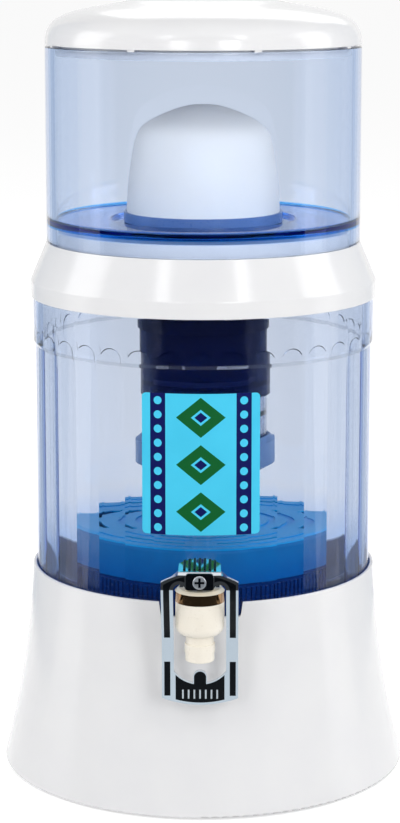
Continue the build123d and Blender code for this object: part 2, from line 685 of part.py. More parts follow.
with BuildPart() as cartridge_head:
    with BuildSketch(Plane.XZ):
        skirt_bore = HEAD_R - HEAD_WALL_SKIRT
        outline(
            (0, HEAD_FLOOR_UNDER),
            (0, HEAD_FLOOR_TOP),
            (HEAD_BORE_R, HEAD_FLOOR_TOP),
            (HEAD_BORE_R, UPPER_UNDERSIDE - LOOSE),
            (HEAD_BORE_R + HEAD_WALL, UPPER_UNDERSIDE - LOOSE),
            (HEAD_BORE_R + HEAD_WALL, HEAD_FLOOR_TOP - HEAD_FLOOR / 2),
            (HEAD_R, HEAD_FLOOR_UNDER - HEAD_SHOULDER),
            (HEAD_R, HEAD_FOOT),
            (skirt_bore, HEAD_FOOT),
            (skirt_bore, HEAD_FLOOR_UNDER - HEAD_SHOULDER),
            (HEAD_BORE_R, HEAD_FLOOR_UNDER),
        )
    revolve(axis=Axis.Z)
    with BuildSketch(Plane.XY.offset(HEAD_FLOOR_UNDER)):
        with PolarLocations(HEAD_BORE_R / 2, WATER_HOLES):
            Circle(WATER_HOLE_R)
    extrude(amount=HEAD_FLOOR, mode=Mode.SUBTRACT)

with BuildPart() as cartridge_seal:
    with BuildSketch(Plane.XZ):
        ring_block(
            SPOUT_RING_R - SPOUT_RING_WALL + SEAL_INSET,
            SPOUT_RING_R - SEAL_INSET,
            HEAD_FLOOR_TOP,
            SPOUT_END,
        )
    revolve(axis=Axis.Z)

with BuildPart() as cartridge_body:
    with BuildSketch(Plane.XZ):
        socket = SLEEVE_NECK_R + LOOSE
        outline(
            (0, BODY_FLOOR_UNDER),
            (0, BODY_FLOOR_TOP),
            (BODY_BORE_R, BODY_FLOOR_TOP),
            (BODY_BORE_R, NECK_TOP),
            (BODY_NECK_R, NECK_TOP),
            (BODY_NECK_R, HEAD_FOOT),
            (BODY_R, HEAD_FOOT),
            (BODY_R, BODY_FOOT),
            (socket, BODY_FOOT),
            (socket, BODY_FLOOR_UNDER),
        )
    revolve(axis=Axis.Z)
    with BuildSketch(Plane.XY.offset(BODY_FLOOR_UNDER)):
        with PolarLocations(BODY_BORE_R / 2, WATER_HOLES):
            Circle(WATER_HOLE_R)
    extrude(amount=CART_FLOOR, mode=Mode.SUBTRACT)

with BuildPart() as cartridge_sleeve:
    with BuildSketch(Plane.XZ):
        outline(
            (SLEEVE_BORE_R, SLEEVE_FOOT),
            (SLEEVE_R, SLEEVE_FOOT),
            (SLEEVE_R, BODY_FOOT),
            (SLEEVE_NECK_R, BODY_FOOT),
            (SLEEVE_NECK_R, BODY_FOOT + SLEEVE_NECK),
            (SLEEVE_BORE_R, BODY_FOOT + SLEEVE_NECK),
        )
        ring_block(0, SLEEVE_NECK_R, PARTITION_TOP - PARTITION_THICK, PARTITION_TOP)
    revolve(axis=Axis.Z)
    with BuildSketch(Plane.XY.offset(PARTITION_TOP)):
        with PolarLocations(SLEEVE_BORE_R / 2, WATER_HOLES):
            Circle(WATER_HOLE_R)
    extrude(amount=-PARTITION_THICK, mode=Mode.SUBTRACT)

with BuildPart() as cartridge_cap:
    with BuildSketch(Plane.XZ):
        clasp = SLEEVE_R + LOOSE
        outline(
            (0, CAP_FOOT),
            (CAP_R - CAP_CHAMFER, CAP_FOOT),
            (CAP_R, CAP_FOOT + CAP_CHAMFER),
            (CAP_R, CAP_TOP - CAP_SHOULDER),
            (clasp + CAP_LIP, CAP_TOP),
            (clasp, CAP_TOP),
            (clasp, SLEEVE_FOOT),
            (CAP_R - CAP_WALL, SLEEVE_FOOT),
            (CAP_R - CAP_WALL, CAP_FOOT + CAP_FLOOR),
            (0, CAP_FOOT + CAP_FLOOR),
        )
    revolve(axis=Axis.Z)
    with BuildSketch(Plane.XY.offset(CAP_FOOT)):
        with PolarLocations(CAP_R / 2, CAP_SLOTS):
            SlotOverall(CAP_SLOT_LENGTH, CAP_SLOT_WIDTH)
    extrude(amount=CAP_FLOOR, mode=Mode.SUBTRACT)

with BuildPart() as filter_pads:
    with BuildSketch(Plane.XZ):
        pad_r = BODY_BORE_R - LOOSE
        ring_block(0, pad_r, BODY_FLOOR_TOP, BODY_FLOOR_TOP + PAD_THICK)
        ring_block(0, pad_r, NECK_TOP - PAD_THICK, NECK_TOP)
        ring_block(
            0, CAP_R - CAP_WALL - LOOSE, CAP_FOOT + CAP_FLOOR, CAP_FOOT + CAP_FLOOR + PAD_THICK
        )
    revolve(axis=Axis.Z)

with BuildPart() as carbon_bed:
    with BuildSketch(Plane.XZ):
        ring_block(0, BODY_BORE_R - LOOSE, BODY_FLOOR_TOP + PAD_THICK, NECK_TOP - PAD_THICK)
    revolve(axis=Axis.Z)

with BuildPart() as zeolite_bed:
    with BuildSketch(Plane.XZ):
        ring_block(0, SLEEVE_BORE_R - LOOSE, PARTITION_TOP, BODY_FOOT + SLEEVE_NECK)
    revolve(axis=Axis.Z)

with BuildPart() as mineral_bed:
    with BuildSketch(Plane.XZ):
        bed_foot = CAP_FOOT + CAP_FLOOR + PAD_THICK
        ring_block(0, SLEEVE_BORE_R - LOOSE, bed_foot, PARTITION_TOP - PARTITION_THICK)
    revolve(axis=Axis.Z)

# ---------------------------------------------------------------- mineral case

with BuildPart() as mineral_case_base:
    wall_r = CASE_R - CASE_RIB_PROUD
    neck_r = CASE_R - CASE_WALL - LOOSE
    case_bore_r = neck_r - CASE_WALL
    with BuildSketch(Plane.XZ):
        outline(
            (0, LOWER_FLOOR_TOP),
            (wall_r, LOWER_FLOOR_TOP),
            (wall_r, CASE_SPLIT),
            (neck_r, CASE_SPLIT),
            (neck_r, CASE_SPLIT + CASE_NECK),
            (case_bore_r, CASE_SPLIT + CASE_NECK),
            (case_bore_r, LOWER_FLOOR_TOP + CASE_FLOOR),
            (0, LOWER_FLOOR_TOP + CASE_FLOOR),
        )
    revolve(axis=Axis.Z)
    with BuildSketch(Plane.XY.offset(LOWER_FLOOR_TOP)):
        with PolarLocations(wall_r, CASE_RIBS):
            Rectangle(2 * CASE_RIB_PROUD, CASE_RIB_WIDTH)
    extrude(amount=CASE_BASE_HEIGHT - CASE_FLOOR)

with BuildPart() as mineral_case_lid:
    with BuildSketch(Plane.XZ):
        outline(
            (CASE_R, CASE_SPLIT),
            (CASE_R, CASE_TOP),
            (0, CASE_TOP),
            (0, CASE_TOP - CASE_WALL),
            (CASE_R - CASE_WALL, CASE_TOP - CASE_WALL),
            (CASE_R - CASE_WALL, CASE_SPLIT),
        )
        fillet(vertices().sort_by_distance((CASE_R, CASE_TOP))[0], CASE_EDGE_ROUND)
        for ripple in RIPPLE_RADII:
            with Locations((ripple, CASE_TOP)):
                Rectangle(RIPPLE_WIDTH, 2 * RIPPLE_DEPTH, mode=Mode.SUBTRACT)
    revolve(axis=Axis.Z)
    for slot_r, count, sweep_angle in zip(SLOT_RADII, SLOT_COUNTS, SLOT_SWEEPS):
        for index in range(count):
            with BuildSketch(radial_plane(index * 360 / count - sweep_angle / 2)):
                ring_block(
                    slot_r - SLOT_WIDTH / 2,
                    slot_r + SLOT_WIDTH / 2,
                    CASE_TOP - 2 * CASE_WALL,
                    CASE_TOP + CASE_WALL,
                )
            revolve(axis=Axis.Z, revolution_arc=sweep_angle, mode=Mode.SUBTRACT)

with BuildPart() as mineral_stones:
    with BuildSketch(Plane.XY.offset(LOWER_FLOOR_TOP + CASE_FLOOR)):
        for share, count in zip(STONE_SHARES, STONE_COUNTS):
            with PolarLocations(case_bore_r * share, count):
                RegularPolygon(case_bore_r * STONE_SHARE, STONE_SIDES)
    extrude(amount=STONE_HEIGHT)
    chamfer(edges().group_by(Axis.Z)[0] + edges().group_by(Axis.Z)[-1], STONE_BEVEL)

# ---------------------------------------------------------------- tap

with BuildPart() as tap_body:
    with BuildSketch(TAP_PLANE):
        ring_top = RING_FOOT_Z + NOZZLE_RING
        outline(
            (0, NOZZLE_END),
            (LIP_R, NOZZLE_END),
            (LIP_R, RING_FOOT_Z),
            (NOZZLE_RING_R, RING_FOOT_Z),
            (NOZZLE_RING_R, ring_top),
            (NECK_R, ring_top),
            (NECK_R, BARREL_FOOT),
            (BARREL_R, BARREL_FOOT),
            (BARREL_R, BARREL_TOP),
            (THREAD_NECK_R, BARREL_TOP),
            (THREAD_NECK_R, BARREL_TOP + THREAD_NECK),
            (0, BARREL_TOP + THREAD_NECK),
        )
        fillet(vertices().sort_by_distance((BARREL_R, BARREL_FOOT))[0], BARREL_ROUND)
        fillet(vertices().sort_by_distance((NOZZLE_RING_R, ring_top))[0], RIM_ROUND / 2)
        fillet(vertices().sort_by_distance((LIP_R, NOZZLE_END))[0], RIM_ROUND)
    revolve(axis=TAP_AXIS)
    with BuildSketch(Plane.XZ.offset(SHANK_END)):
        with Locations((0, SHANK_Z)):
            Circle(SHANK_R)
    extrude(amount=abs(TAP_Y) - SHANK_END)
    with BuildSketch(Plane.XZ.offset(FLANGE_BACK)):
        with Locations((0, SHANK_Z)):
            Circle(TAP_FLANGE_R)
    extrude(amount=TAP_FLANGE)
    with BuildSketch(TAP_PLANE):
        outline(
            (0, NOZZLE_END),
            (NOZZLE_BORE_R, NOZZLE_END),
            (NOZZLE_BORE_R, VALVE_SEAT - BARREL_FLOOR),
            (SEAT_R, VALVE_SEAT - BARREL_FLOOR),
            (SEAT_R, VALVE_SEAT),
            (BARREL_BORE_R, VALVE_SEAT),
            (BARREL_BORE_R, BARREL_TOP + THREAD_NECK),
            (0, BARREL_TOP + THREAD_NECK),
        )
    revolve(axis=TAP_AXIS, mode=Mode.SUBTRACT)
    with BuildSketch(Plane.XZ.offset(SHANK_END)):
        with Locations((0, SHANK_Z)):
            Circle(SHANK_BORE_R)
    extrude(amount=abs(TAP_Y) - SHANK_END, mode=Mode.SUBTRACT)

with BuildPart() as tap_washers:
    for face_y in (BOSS_FACE, BOSS_BACK - WASHER_THICK):
        with BuildSketch(Plane.XZ.offset(face_y)):
            with Locations((0, SHANK_Z)):
                Circle(TAP_FLANGE_R)
                Circle(SHANK_R + LOOSE, mode=Mode.SUBTRACT)
    extrude(amount=WASHER_THICK)

with BuildPart() as tap_nut:
    with BuildSketch(Plane.XZ.offset(BOSS_BACK - WASHER_THICK)):
        with Locations((0, SHANK_Z)):
            RegularPolygon(TAP_NUT_FLATS / 2, 6, major_radius=False)
            Circle(SHANK_R + RUNNING, mode=Mode.SUBTRACT)
    extrude(amount=-TAP_NUT_THICK)

with BuildPart() as tap_bonnet:
    with BuildSketch(TAP_PLANE):
        roof_under = BONNET_TOP - BONNET_ROOF
        outline(
            (THREAD_NECK_R + LOOSE, BARREL_TOP),
            (BONNET_R, BARREL_TOP),
            (BONNET_R, BARREL_TOP + BONNET_SIDE),
            (BONNET_TOP_R, BONNET_TOP),
            (VALVE_STEM_R + RUNNING, BONNET_TOP),
            (VALVE_STEM_R + RUNNING, roof_under),
            (THREAD_NECK_R + LOOSE, roof_under),
        )
    revolve(axis=TAP_AXIS)
    for side in (-1, 1):
        with BuildSketch(Plane.YZ.offset(side * EAR_INNER)):
            with Locations((PIN_Y, PIN_Z)):
                Circle(EAR_R)
            outline(
                (PIN_Y - EAR_R, PIN_Z),
                (PIN_Y + EAR_R, PIN_Z),
                (PIN_Y + EAR_R, BONNET_TOP - BONNET_ROOF / 2),
                (PIN_Y - EAR_R, BONNET_TOP - BONNET_ROOF / 2),
            )
            with Locations((PIN_Y, PIN_Z)):
                Circle(PIN_R + RUNNING, mode=Mode.SUBTRACT)
        extrude(amount=side * EAR_THICK)

with BuildPart() as valve_stem:
    with BuildSketch(TAP_PLANE):
        outline(
            (0, VALVE_SEAT + LOOSE),
            (VALVE_STEM_R, VALVE_SEAT + LOOSE),
            (VALVE_STEM_R, STEM_HEAD_UNDER),
            (STEM_HEAD_R, STEM_HEAD_UNDER),
            (STEM_HEAD_R, STEM_HEAD_UNDER + STEM_HEAD),
            (0, STEM_HEAD_UNDER + STEM_HEAD),
        )
    revolve(axis=TAP_AXIS)

with BuildPart() as valve_seal:
    with BuildSketch(TAP_PLANE):
        outline(
            (VALVE_STEM_R, VALVE_SEAT),
            (VALVE_R, VALVE_SEAT),
            (VALVE_R, VALVE_SEAT + VALVE_DISC),
            (VALVE_HUB_R, VALVE_SEAT + VALVE_DISC),
            (VALVE_HUB_R, VALVE_SEAT + VALVE_DISC + VALVE_HUB),
            (VALVE_STEM_R, VALVE_SEAT + VALVE_DISC + VALVE_HUB),
        )
    revolve(axis=TAP_AXIS)

SPRING_FOOT = VALVE_SEAT + VALVE_DISC + SPRING_WIRE / 2
SPRING_HEIGHT = BONNET_TOP - BONNET_ROOF - SPRING_WIRE / 2 - SPRING_FOOT

with BuildPart() as valve_spring:
    with BuildLine(Plane(origin=(0, TAP_Y, SPRING_FOOT))):
        Helix(SPRING_HEIGHT / SPRING_TURNS, SPRING_HEIGHT, SPRING_R)
    with BuildSketch(Plane(origin=(SPRING_R, TAP_Y, SPRING_FOOT), z_dir=(0, 1, 0))):
        Rectangle(SPRING_WIRE, SPRING_WIRE)
    sweep(is_frenet=True)

# ---------------------------------------------------------------- lever


def up(rise):
    """Height of a point this far above the bonnet's roof."""
    return BONNET_TOP + rise


def down(drop):
    """Height of a point this far below the bonnet's roof."""
    return BONNET_TOP - drop


def box_face(left, right, low, high, mode=Mode.ADD):
    """A rectangle between four edges."""
    with Locations(((left + right) / 2, (low + high) / 2)):
        Rectangle(right - left, high - low, mode=mode)


def lever_front(inset, mode=Mode.ADD):
    """The yoke from the front: arched top, straight sides, bowed foot."""
    half = LEVER_HALF_W - inset
    shoulder = up(SHOULDER_UP) - inset
    foot = down(LEG_DOWN) + inset
    with BuildLine() as edge_line:
        ThreePointArc((-half, shoulder), (0, up(LEVER_UP) - inset), (half, shoulder))
        Line((half, shoulder), (half, foot))
        ThreePointArc((half, foot), (0, down(FOOT_DOWN) + inset), (-half, foot))
        Line((-half, foot), (-half, shoulder))
    make_face(edge_line.edges(), mode=mode)


def lever_window(grow):
    """Cuts the opening between the legs, with an arch at each side of the head block."""
    half = WINDOW_HALF_W + grow
    side = down(PLATE_SIDE_DOWN) - grow
    arch_r = (WINDOW_HALF_W - BLOCK_HALF_W) / 2
    arch_z = up(WINDOW_ARCH_UP) - arch_r
    with BuildLine() as edge_line:
        Polyline((-half, side), (-half, arch_z), (half, arch_z), (half, side))
        ThreePointArc((half, side), (0, down(PLATE_DOWN) - grow), (-half, side))
    make_face(edge_line.edges(), mode=Mode.SUBTRACT)
    box_face(-BLOCK_HALF_W, BLOCK_HALF_W, arch_z, up(BLOCK_UP), mode=Mode.SUBTRACT)
    with Locations((BLOCK_HALF_W + arch_r, arch_z), (-BLOCK_HALF_W - arch_r, arch_z)):
        Circle(arch_r + grow, mode=Mode.SUBTRACT)


def tongue(inset):
    """The rounded tongue that stands up from the middle of the push plate."""
    half = TONGUE_HALF_W - inset
    middle = down(TONGUE_DOWN + TONGUE_HALF_W)
    box_face(-half, half, down(PLATE_DOWN + INLAY_RIM), middle)
    with Locations((0, middle)):
        Circle(half)


# The yoke's blank: a bent strip, seen from the side, cut to its outline from the front.
with BuildPart() as lever_blank:
    with BuildSketch(Plane.YZ):
        middle_y = LEVER_FRONT + LEVER_THICK / 2
        crown_y = LEVER_FRONT + CROWN_DEPTH
        crown_z = up(LEVER_UP) - LEVER_THICK / 2
        with BuildLine():
            FilletPolyline(
                (crown_y, crown_z + CROWN_RISE),
                (middle_y, crown_z),
                (middle_y, down(NECK_DOWN)),
                (middle_y + KNEE_BACK, down(KNEE_DOWN)),
                (middle_y + KNEE_BACK + TOE_BACK, down(FOOT_DOWN + LEVER_THICK)),
                radius=[LEVER_BEND, KNEE_BACK, KNEE_DOWN],
            )
        trace(line_width=LEVER_THICK)
    extrude(amount=LEVER_HALF_W, both=True)
    with BuildSketch(Plane.XZ):
        lever_front(0)
        outline(
            (-CROWN_HALF_W, up(SHOULDER_UP)),
            (CROWN_HALF_W, up(SHOULDER_UP)),
            (CROWN_REAR_HALF_W, up(LEVER_UP + CROWN_RISE + LEVER_THICK)),
            (-CROWN_REAR_HALF_W, up(LEVER_UP + CROWN_RISE + LEVER_THICK)),
        )
        lever_window(0)
        tongue(0)
    extrude(amount=FRONT_REACH, mode=Mode.INTERSECT)

with BuildSketch(Plane.XZ) as leg_inlays:
    lever_front(INLAY_RIM)
    lever_window(WINDOW_RIM)
    middle_edge = BLOCK_HALF_W + INLAY_GAP
    leg_edge = WINDOW_HALF_W + WINDOW_RIM
    box_face(-middle_edge, middle_edge, down(FOOT_DOWN), up(LEVER_UP), mode=Mode.SUBTRACT)
    box_face(-leg_edge, leg_edge, down(FOOT_DOWN), down(BRIDGE_FOOT_DOWN), mode=Mode.SUBTRACT)
    for foot, head in ((BRIDGE_FOOT_DOWN, BRIDGE_TOP_DOWN), (FOOT_DOWN, SLOT_FOOT_DOWN)):
        box_face(-LEVER_HALF_W, LEVER_HALF_W, down(foot), down(head), mode=Mode.SUBTRACT)

with BuildSketch(Plane.XZ) as pad_inlay:
    lever_front(INLAY_RIM)
    box_face(-PAD_HALF_W, PAD_HALF_W, down(FOOT_DOWN), down(TONGUE_DOWN), mode=Mode.INTERSECT)
    lever_window(PAD_RIM)
    tongue(PAD_RIM)

# The inlays are the front skin of the blank inside those outlines, and the head block.
with BuildPart() as lever_inlays:
    add(lever_blank.part)
    with BuildSketch(Plane.XZ):
        add(leg_inlays.sketch)
        add(pad_inlay.sketch)
    extrude(amount=FRONT_REACH, mode=Mode.INTERSECT)
    add(Pos(0, INLAY_DEPTH, 0) * lever_blank.part, mode=Mode.SUBTRACT)
    with BuildSketch(Plane.XZ.offset(-LEVER_FRONT - INLAY_DEPTH)):
        box_face(-BLOCK_HALF_W, BLOCK_HALF_W, up(BLOCK_UP), up(BLOCK_UP + BLOCK_HEIGHT))
        fillet(vertices(), BLOCK_ROUND)
    extrude(amount=INLAY_DEPTH + BLOCK_PROUD)
    with BuildSketch(Plane.XZ.offset(-LEVER_FRONT - INLAY_DEPTH)):
        with Locations((0, up(SCREW_UP))):
            Circle(SCREW_SHAFT_R + RUNNING)
    extrude(amount=INLAY_DEPTH + BLOCK_PROUD, mode=Mode.SUBTRACT)

with BuildPart() as tap_lever:
    add(lever_blank.part)
    for side in (-1, 1):
        with BuildSketch(Plane.YZ.offset(side * CROWN_REAR_HALF_W)):
            outline(
                (middle_y, up(CHEEK_UP)),
                (LEVER_FRONT + CHEEK_DEPTH, up(CHEEK_UP)),
                (crown_y - LEVER_THICK / 2, crown_z + CROWN_RISE - LEVER_THICK / 4),
                (middle_y, crown_z - LEVER_THICK / 4),
            )
        extrude(amount=-side * CHEEK_THICK)
    with BuildSketch(Plane.XY.offset(STEM_HEAD_UNDER - LIFT_TAB_GAP)):
        tab_front = TAP_Y - LIFT_TAB_FRONT
        tab_half = CROWN_REAR_HALF_W - CHEEK_THICK / 2
        box_face(-tab_half, tab_half, tab_front, TAP_Y + LIFT_TAB_REAR)
        box_face(-FORK_HALF_W, FORK_HALF_W, tab_front, TAP_Y, mode=Mode.SUBTRACT)
        with Locations((0, TAP_Y)):
            Circle(FORK_HALF_W, mode=Mode.SUBTRACT)
    extrude(amount=-LIFT_TAB_THICK)
    with BuildSketch(Plane.XY.offset(STEM_HEAD_UNDER - LIFT_NUB_GAP)):
        for side in (-1, 1):
            with Locations((side * (FORK_HALF_W + LIFT_NUB_WIDTH / 2), TAP_Y)):
                Rectangle(LIFT_NUB_WIDTH, LIFT_NUB_LENGTH)
    extrude(amount=-LIFT_TAB_GAP)
    rib_span = CROWN_DEPTH - GRIP_FROM - LEVER_THICK / 2
    rise_rate = CROWN_RISE / (CROWN_DEPTH - LEVER_THICK / 2)
    rib_front = LEVER_FRONT + GRIP_FROM
    rib_z = up(LEVER_UP) + rise_rate * (GRIP_FROM - LEVER_THICK / 2)
    for index in range(GRIP_RIBS):
        rib_x = (index - (GRIP_RIBS - 1) / 2) * GRIP_RIB_PITCH - GRIP_RIB_WIDTH / 2
        with BuildSketch(Plane.YZ.offset(rib_x)):
            outline(
                (rib_front, rib_z - GRIP_RIB_PROUD),
                (rib_front, rib_z + GRIP_RIB_PROUD),
                (rib_front + rib_span, rib_z + rise_rate * rib_span + GRIP_RIB_PROUD),
                (rib_front + rib_span, rib_z + rise_rate * rib_span - GRIP_RIB_PROUD),
            )
    extrude(amount=GRIP_RIB_WIDTH)
    with BuildSketch(Plane.XY.offset(up(CHEEK_UP) - LIFT_TAB_THICK)):
        bow_foot = crown_y - CROWN_BOW
        with BuildLine():
            Line((CROWN_HALF_W, bow_foot), (LEVER_HALF_W, bow_foot))
            Polyline(
                (LEVER_HALF_W, bow_foot),
                (LEVER_HALF_W, crown_y + LEVER_THICK),
                (-LEVER_HALF_W, crown_y + LEVER_THICK),
                (-LEVER_HALF_W, bow_foot),
                (-CROWN_HALF_W, bow_foot),
            )
            ThreePointArc((-CROWN_HALF_W, bow_foot), (0, crown_y), (CROWN_HALF_W, bow_foot))
        make_face()
    extrude(amount=LEVER_UP + CROWN_RISE, mode=Mode.SUBTRACT)
    add(lever_inlays.part, mode=Mode.SUBTRACT)
    with BuildSketch(Plane.XZ.offset(-middle_y - LEVER_THICK)):
        with Locations((0, up(SCREW_UP))):
            Circle(SCREW_SHAFT_R + RUNNING)
    extrude(amount=2 * LEVER_THICK, mode=Mode.SUBTRACT)
    with BuildSketch(Plane.YZ):
        with Locations((PIN_Y, PIN_Z)):
            Circle(PIN_R + RUNNING)
    extrude(amount=CROWN_HALF_W, both=True, mode=Mode.SUBTRACT)

with BuildPart() as lever_pin:
    with BuildSketch(Plane.YZ):
        with Locations((PIN_Y, PIN_Z)):
            Circle(PIN_R)
    extrude(amount=CROWN_HALF_W, both=True)

with BuildPart() as lever_screw:
    with BuildSketch(Plane.XZ.offset(-LEVER_FRONT + BLOCK_PROUD)):
        with Locations((0, up(SCREW_UP))):
            Circle(SCREW_HEAD_R)
    extrude(amount=SCREW_HEAD)
    chamfer(edges().sort_by(Axis.Y)[0], SCREW_HEAD / 4)
    with BuildSketch(Plane.XZ.offset(-LEVER_FRONT + BLOCK_PROUD)):
        with Locations((0, up(SCREW_UP))):
            Circle(SCREW_SHAFT_R)
    extrude(amount=-SCREW_SHAFT)
    with BuildSketch(Plane.XZ.offset(-LEVER_FRONT + BLOCK_PROUD + SCREW_HEAD - SCREW_SLOT_DEPTH)):
        with Locations((0, up(SCREW_UP))):
            Rectangle(SCREW_SLOT_LENGTH, SCREW_SLOT)
            Rectangle(SCREW_SLOT, SCREW_SLOT_LENGTH)
    extrude(amount=SCREW_HEAD, mode=Mode.SUBTRACT)

# ---------------------------------------------------------------- written files

PIECES = {
    "base_stand": base_stand,
    "rubber_feet": rubber_feet,
    "lower_tank": lower_tank,
    "front_label": front_label,
    "ring_cover": ring_cover,
    "upper_tank": upper_tank,
    "lid": lid,
    "ceramic_dome": ceramic_dome,
    "dome_collar": dome_collar,
    "dome_gasket": dome_gasket,
    "dome_wing_nut": dome_wing_nut,
    "cartridge_head": cartridge_head,
    "cartridge_seal": cartridge_seal,
    "cartridge_body": cartridge_body,
    "cartridge_sleeve": cartridge_sleeve,
    "cartridge_cap": cartridge_cap,
    "filter_pads": filter_pads,
    "carbon_bed": carbon_bed,
    "zeolite_bed": zeolite_bed,
    "mineral_bed": mineral_bed,
    "mineral_case_base": mineral_case_base,
    "mineral_case_lid": mineral_case_lid,
    "mineral_stones": mineral_stones,
    "tap_body": tap_body,
    "tap_washers": tap_washers,
    "tap_nut": tap_nut,
    "tap_bonnet": tap_bonnet,
    "tap_lever": tap_lever,
    "lever_inlays": lever_inlays,
    "lever_screw": lever_screw,
    "lever_pin": lever_pin,
    "valve_stem": valve_stem,
    "valve_seal": valve_seal,
    "valve_spring": valve_spring,
}

os.makedirs("parts", exist_ok=True)
for name, piece in PIECES.items():
    piece.part.label = name
    export_step(piece.part, f"parts/{name}.step")
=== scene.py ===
from math import acos, cos, pi, radians, sin, sqrt, tan

import bmesh
import bpy
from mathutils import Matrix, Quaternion, Vector


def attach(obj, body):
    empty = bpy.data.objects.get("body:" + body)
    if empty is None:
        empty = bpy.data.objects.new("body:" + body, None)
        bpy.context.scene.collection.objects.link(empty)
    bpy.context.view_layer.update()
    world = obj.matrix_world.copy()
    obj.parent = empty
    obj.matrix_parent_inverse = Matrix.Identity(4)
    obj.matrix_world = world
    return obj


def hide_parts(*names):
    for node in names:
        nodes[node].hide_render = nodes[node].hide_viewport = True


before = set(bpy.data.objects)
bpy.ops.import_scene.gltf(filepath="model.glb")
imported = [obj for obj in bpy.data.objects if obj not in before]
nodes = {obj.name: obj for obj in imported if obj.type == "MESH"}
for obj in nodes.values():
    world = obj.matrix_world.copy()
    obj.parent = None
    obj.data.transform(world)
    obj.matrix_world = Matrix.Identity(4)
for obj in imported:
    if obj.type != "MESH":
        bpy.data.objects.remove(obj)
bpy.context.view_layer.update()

# Places and sizes are written in millimetres, and every mesh is made in metres.
MM = 0.001
FRONT = -pi / 2         # bearing of the tap, from +X
TAP_Z = 126.5           # height of the tap's shank, which lies along Y
ROUND_STEPS = 5         # spans in each rounding of a profile
HOLD = 0.25             # how far beside each rounding a row of points holds the face's normals
WELD = 1e-6             # in metres
TURNED_COLUMNS = 240
ROD_COLUMNS = 48


# ---------------------------------------------------------------- mesh helpers

def rounded(*corners):
    """A closed outline of (radius, height) or (radius, height, rounding) corners, with arcs."""
    line = []
    for index, corner in enumerate(corners):
        here = Vector(corner[:2])
        radius = corner[2] if len(corner) > 2 else 0.0
        if not radius:
            line.append(tuple(here))
            continue
        before = (Vector(corners[index - 1][:2]) - here).normalized()
        after = (Vector(corners[(index + 1) % len(corners)][:2]) - here).normalized()
        half = acos(max(-1.0, min(1.0, before.dot(after)))) / 2
        middle = (before + after).normalized()
        centre = here + middle * radius / sin(half)
        turn = pi / 2 - half
        side = (before - middle * before.dot(middle)).normalized()
        reach = radius / tan(half) + HOLD
        line.append(tuple(here + before * reach))
        for step in range(ROUND_STEPS + 1):
            angle = turn * (1 - 2 * step / ROUND_STEPS)
            line.append(tuple(centre - middle * radius * cos(angle) + side * radius * sin(angle)))
        line.append(tuple(here + after * reach))
    return line


def add(name, data):
    thing = bpy.data.objects.new(name, data)
    bpy.context.scene.collection.objects.link(thing)
    return thing


def make_mesh(name, points, faces):
    """A mesh with its double points merged and its normals turned outwards."""
    mesh = bpy.data.meshes.new(name)
    mesh.from_pydata([(x * MM, y * MM, z * MM) for x, y, z in points], [], faces)
    work = bmesh.new()
    work.from_mesh(mesh)
    bmesh.ops.remove_doubles(work, verts=work.verts, dist=WELD)
    bmesh.ops.recalc_face_normals(work, faces=work.faces)
    work.to_mesh(mesh)
    work.free()
    return mesh


def smooth(piece, sharp):
    """Shades a piece smooth, apart from edges of more than sharp degrees."""
    mesh = piece.data
    mesh.polygons.foreach_set("use_smooth", [True] * len(mesh.polygons))
    mesh.set_sharp_from_angle(angle=radians(sharp))
    mesh.update()


def mesh_piece(name, points, faces, body, finish, sharp=32.0):
    piece = add(name, make_mesh(name, points, faces))
    smooth(piece, sharp)
    piece.data.materials.append(finish)
    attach(piece, body)
    return piece


def ring_faces(columns, rows):
    """Quads of a grid that closes on itself both ways."""
    return [
        (
            i * rows + j,
            ((i + 1) % columns) * rows + j,
            ((i + 1) % columns) * rows + (j + 1) % rows,
            i * rows + (j + 1) % rows,
        )
        for i in range(columns)
        for j in range(rows)
    ]


def lathe(name, outline, body, finish):
    """A piece turned about the object's upright axis."""
    points = []
    for column in range(TURNED_COLUMNS):
        angle = 2 * pi * column / TURNED_COLUMNS
        points += [(r * cos(angle), r * sin(angle), z) for r, z in outline]
    return mesh_piece(name, points, ring_faces(TURNED_COLUMNS, len(outline)), body, finish)


def rod(name, radius, ends):
    """A plain cylinder along the tap's shank, to cut or join with."""
    count = ROD_COLUMNS
    points = []
    for y in ends:
        for column in range(count):
            angle = 2 * pi * column / count
            points.append((radius * cos(angle), y, TAP_Z + radius * sin(angle)))
    faces = [(i, (i + 1) % count, count + (i + 1) % count, count + i) for i in range(count)]
    faces += [tuple(range(count)), tuple(range(2 * count - 1, count - 1, -1))]
    return add(name, make_mesh(name, points, faces))


def cut(piece, tool, operation):
    """Cuts tool out of piece, or joins it on, and throws tool away."""
    change = piece.modifiers.new("cut", "BOOLEAN")
    change.operation = operation
    change.object = tool
    change.solver = "EXACT"
    ready = piece.evaluated_get(bpy.context.evaluated_depsgraph_get())
    mesh = bpy.data.meshes.new_from_object(ready)
    piece.modifiers.remove(change)
    piece.data = mesh
    bpy.data.objects.remove(tool)


def tube(name, path, radius, body, finish, sides=3):
    """A round bead along a path of points."""
    curve = bpy.data.curves.new(name, "CURVE")
    curve.dimensions = "3D"
    curve.bevel_depth = radius * MM
    curve.bevel_resolution = sides
    curve.use_fill_caps = True
    line = curve.splines.new("POLY")
    line.points.add(len(path) - 1)
    for point, place in zip(line.points, path):
        point.co = (place[0] * MM, place[1] * MM, place[2] * MM, 1.0)
    piece = add(name, curve)
    curve.materials.append(finish)
    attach(piece, body)
    return piece


# ---------------------------------------------------------------- node helpers

NOISE_LOW = 0.3         # nearly all of a noise lies between these
NOISE_HIGH = 0.7
PURE_WHITE = (1.0, 1.0, 1.0, 1.0)
PLASTIC_IOR = 1.45


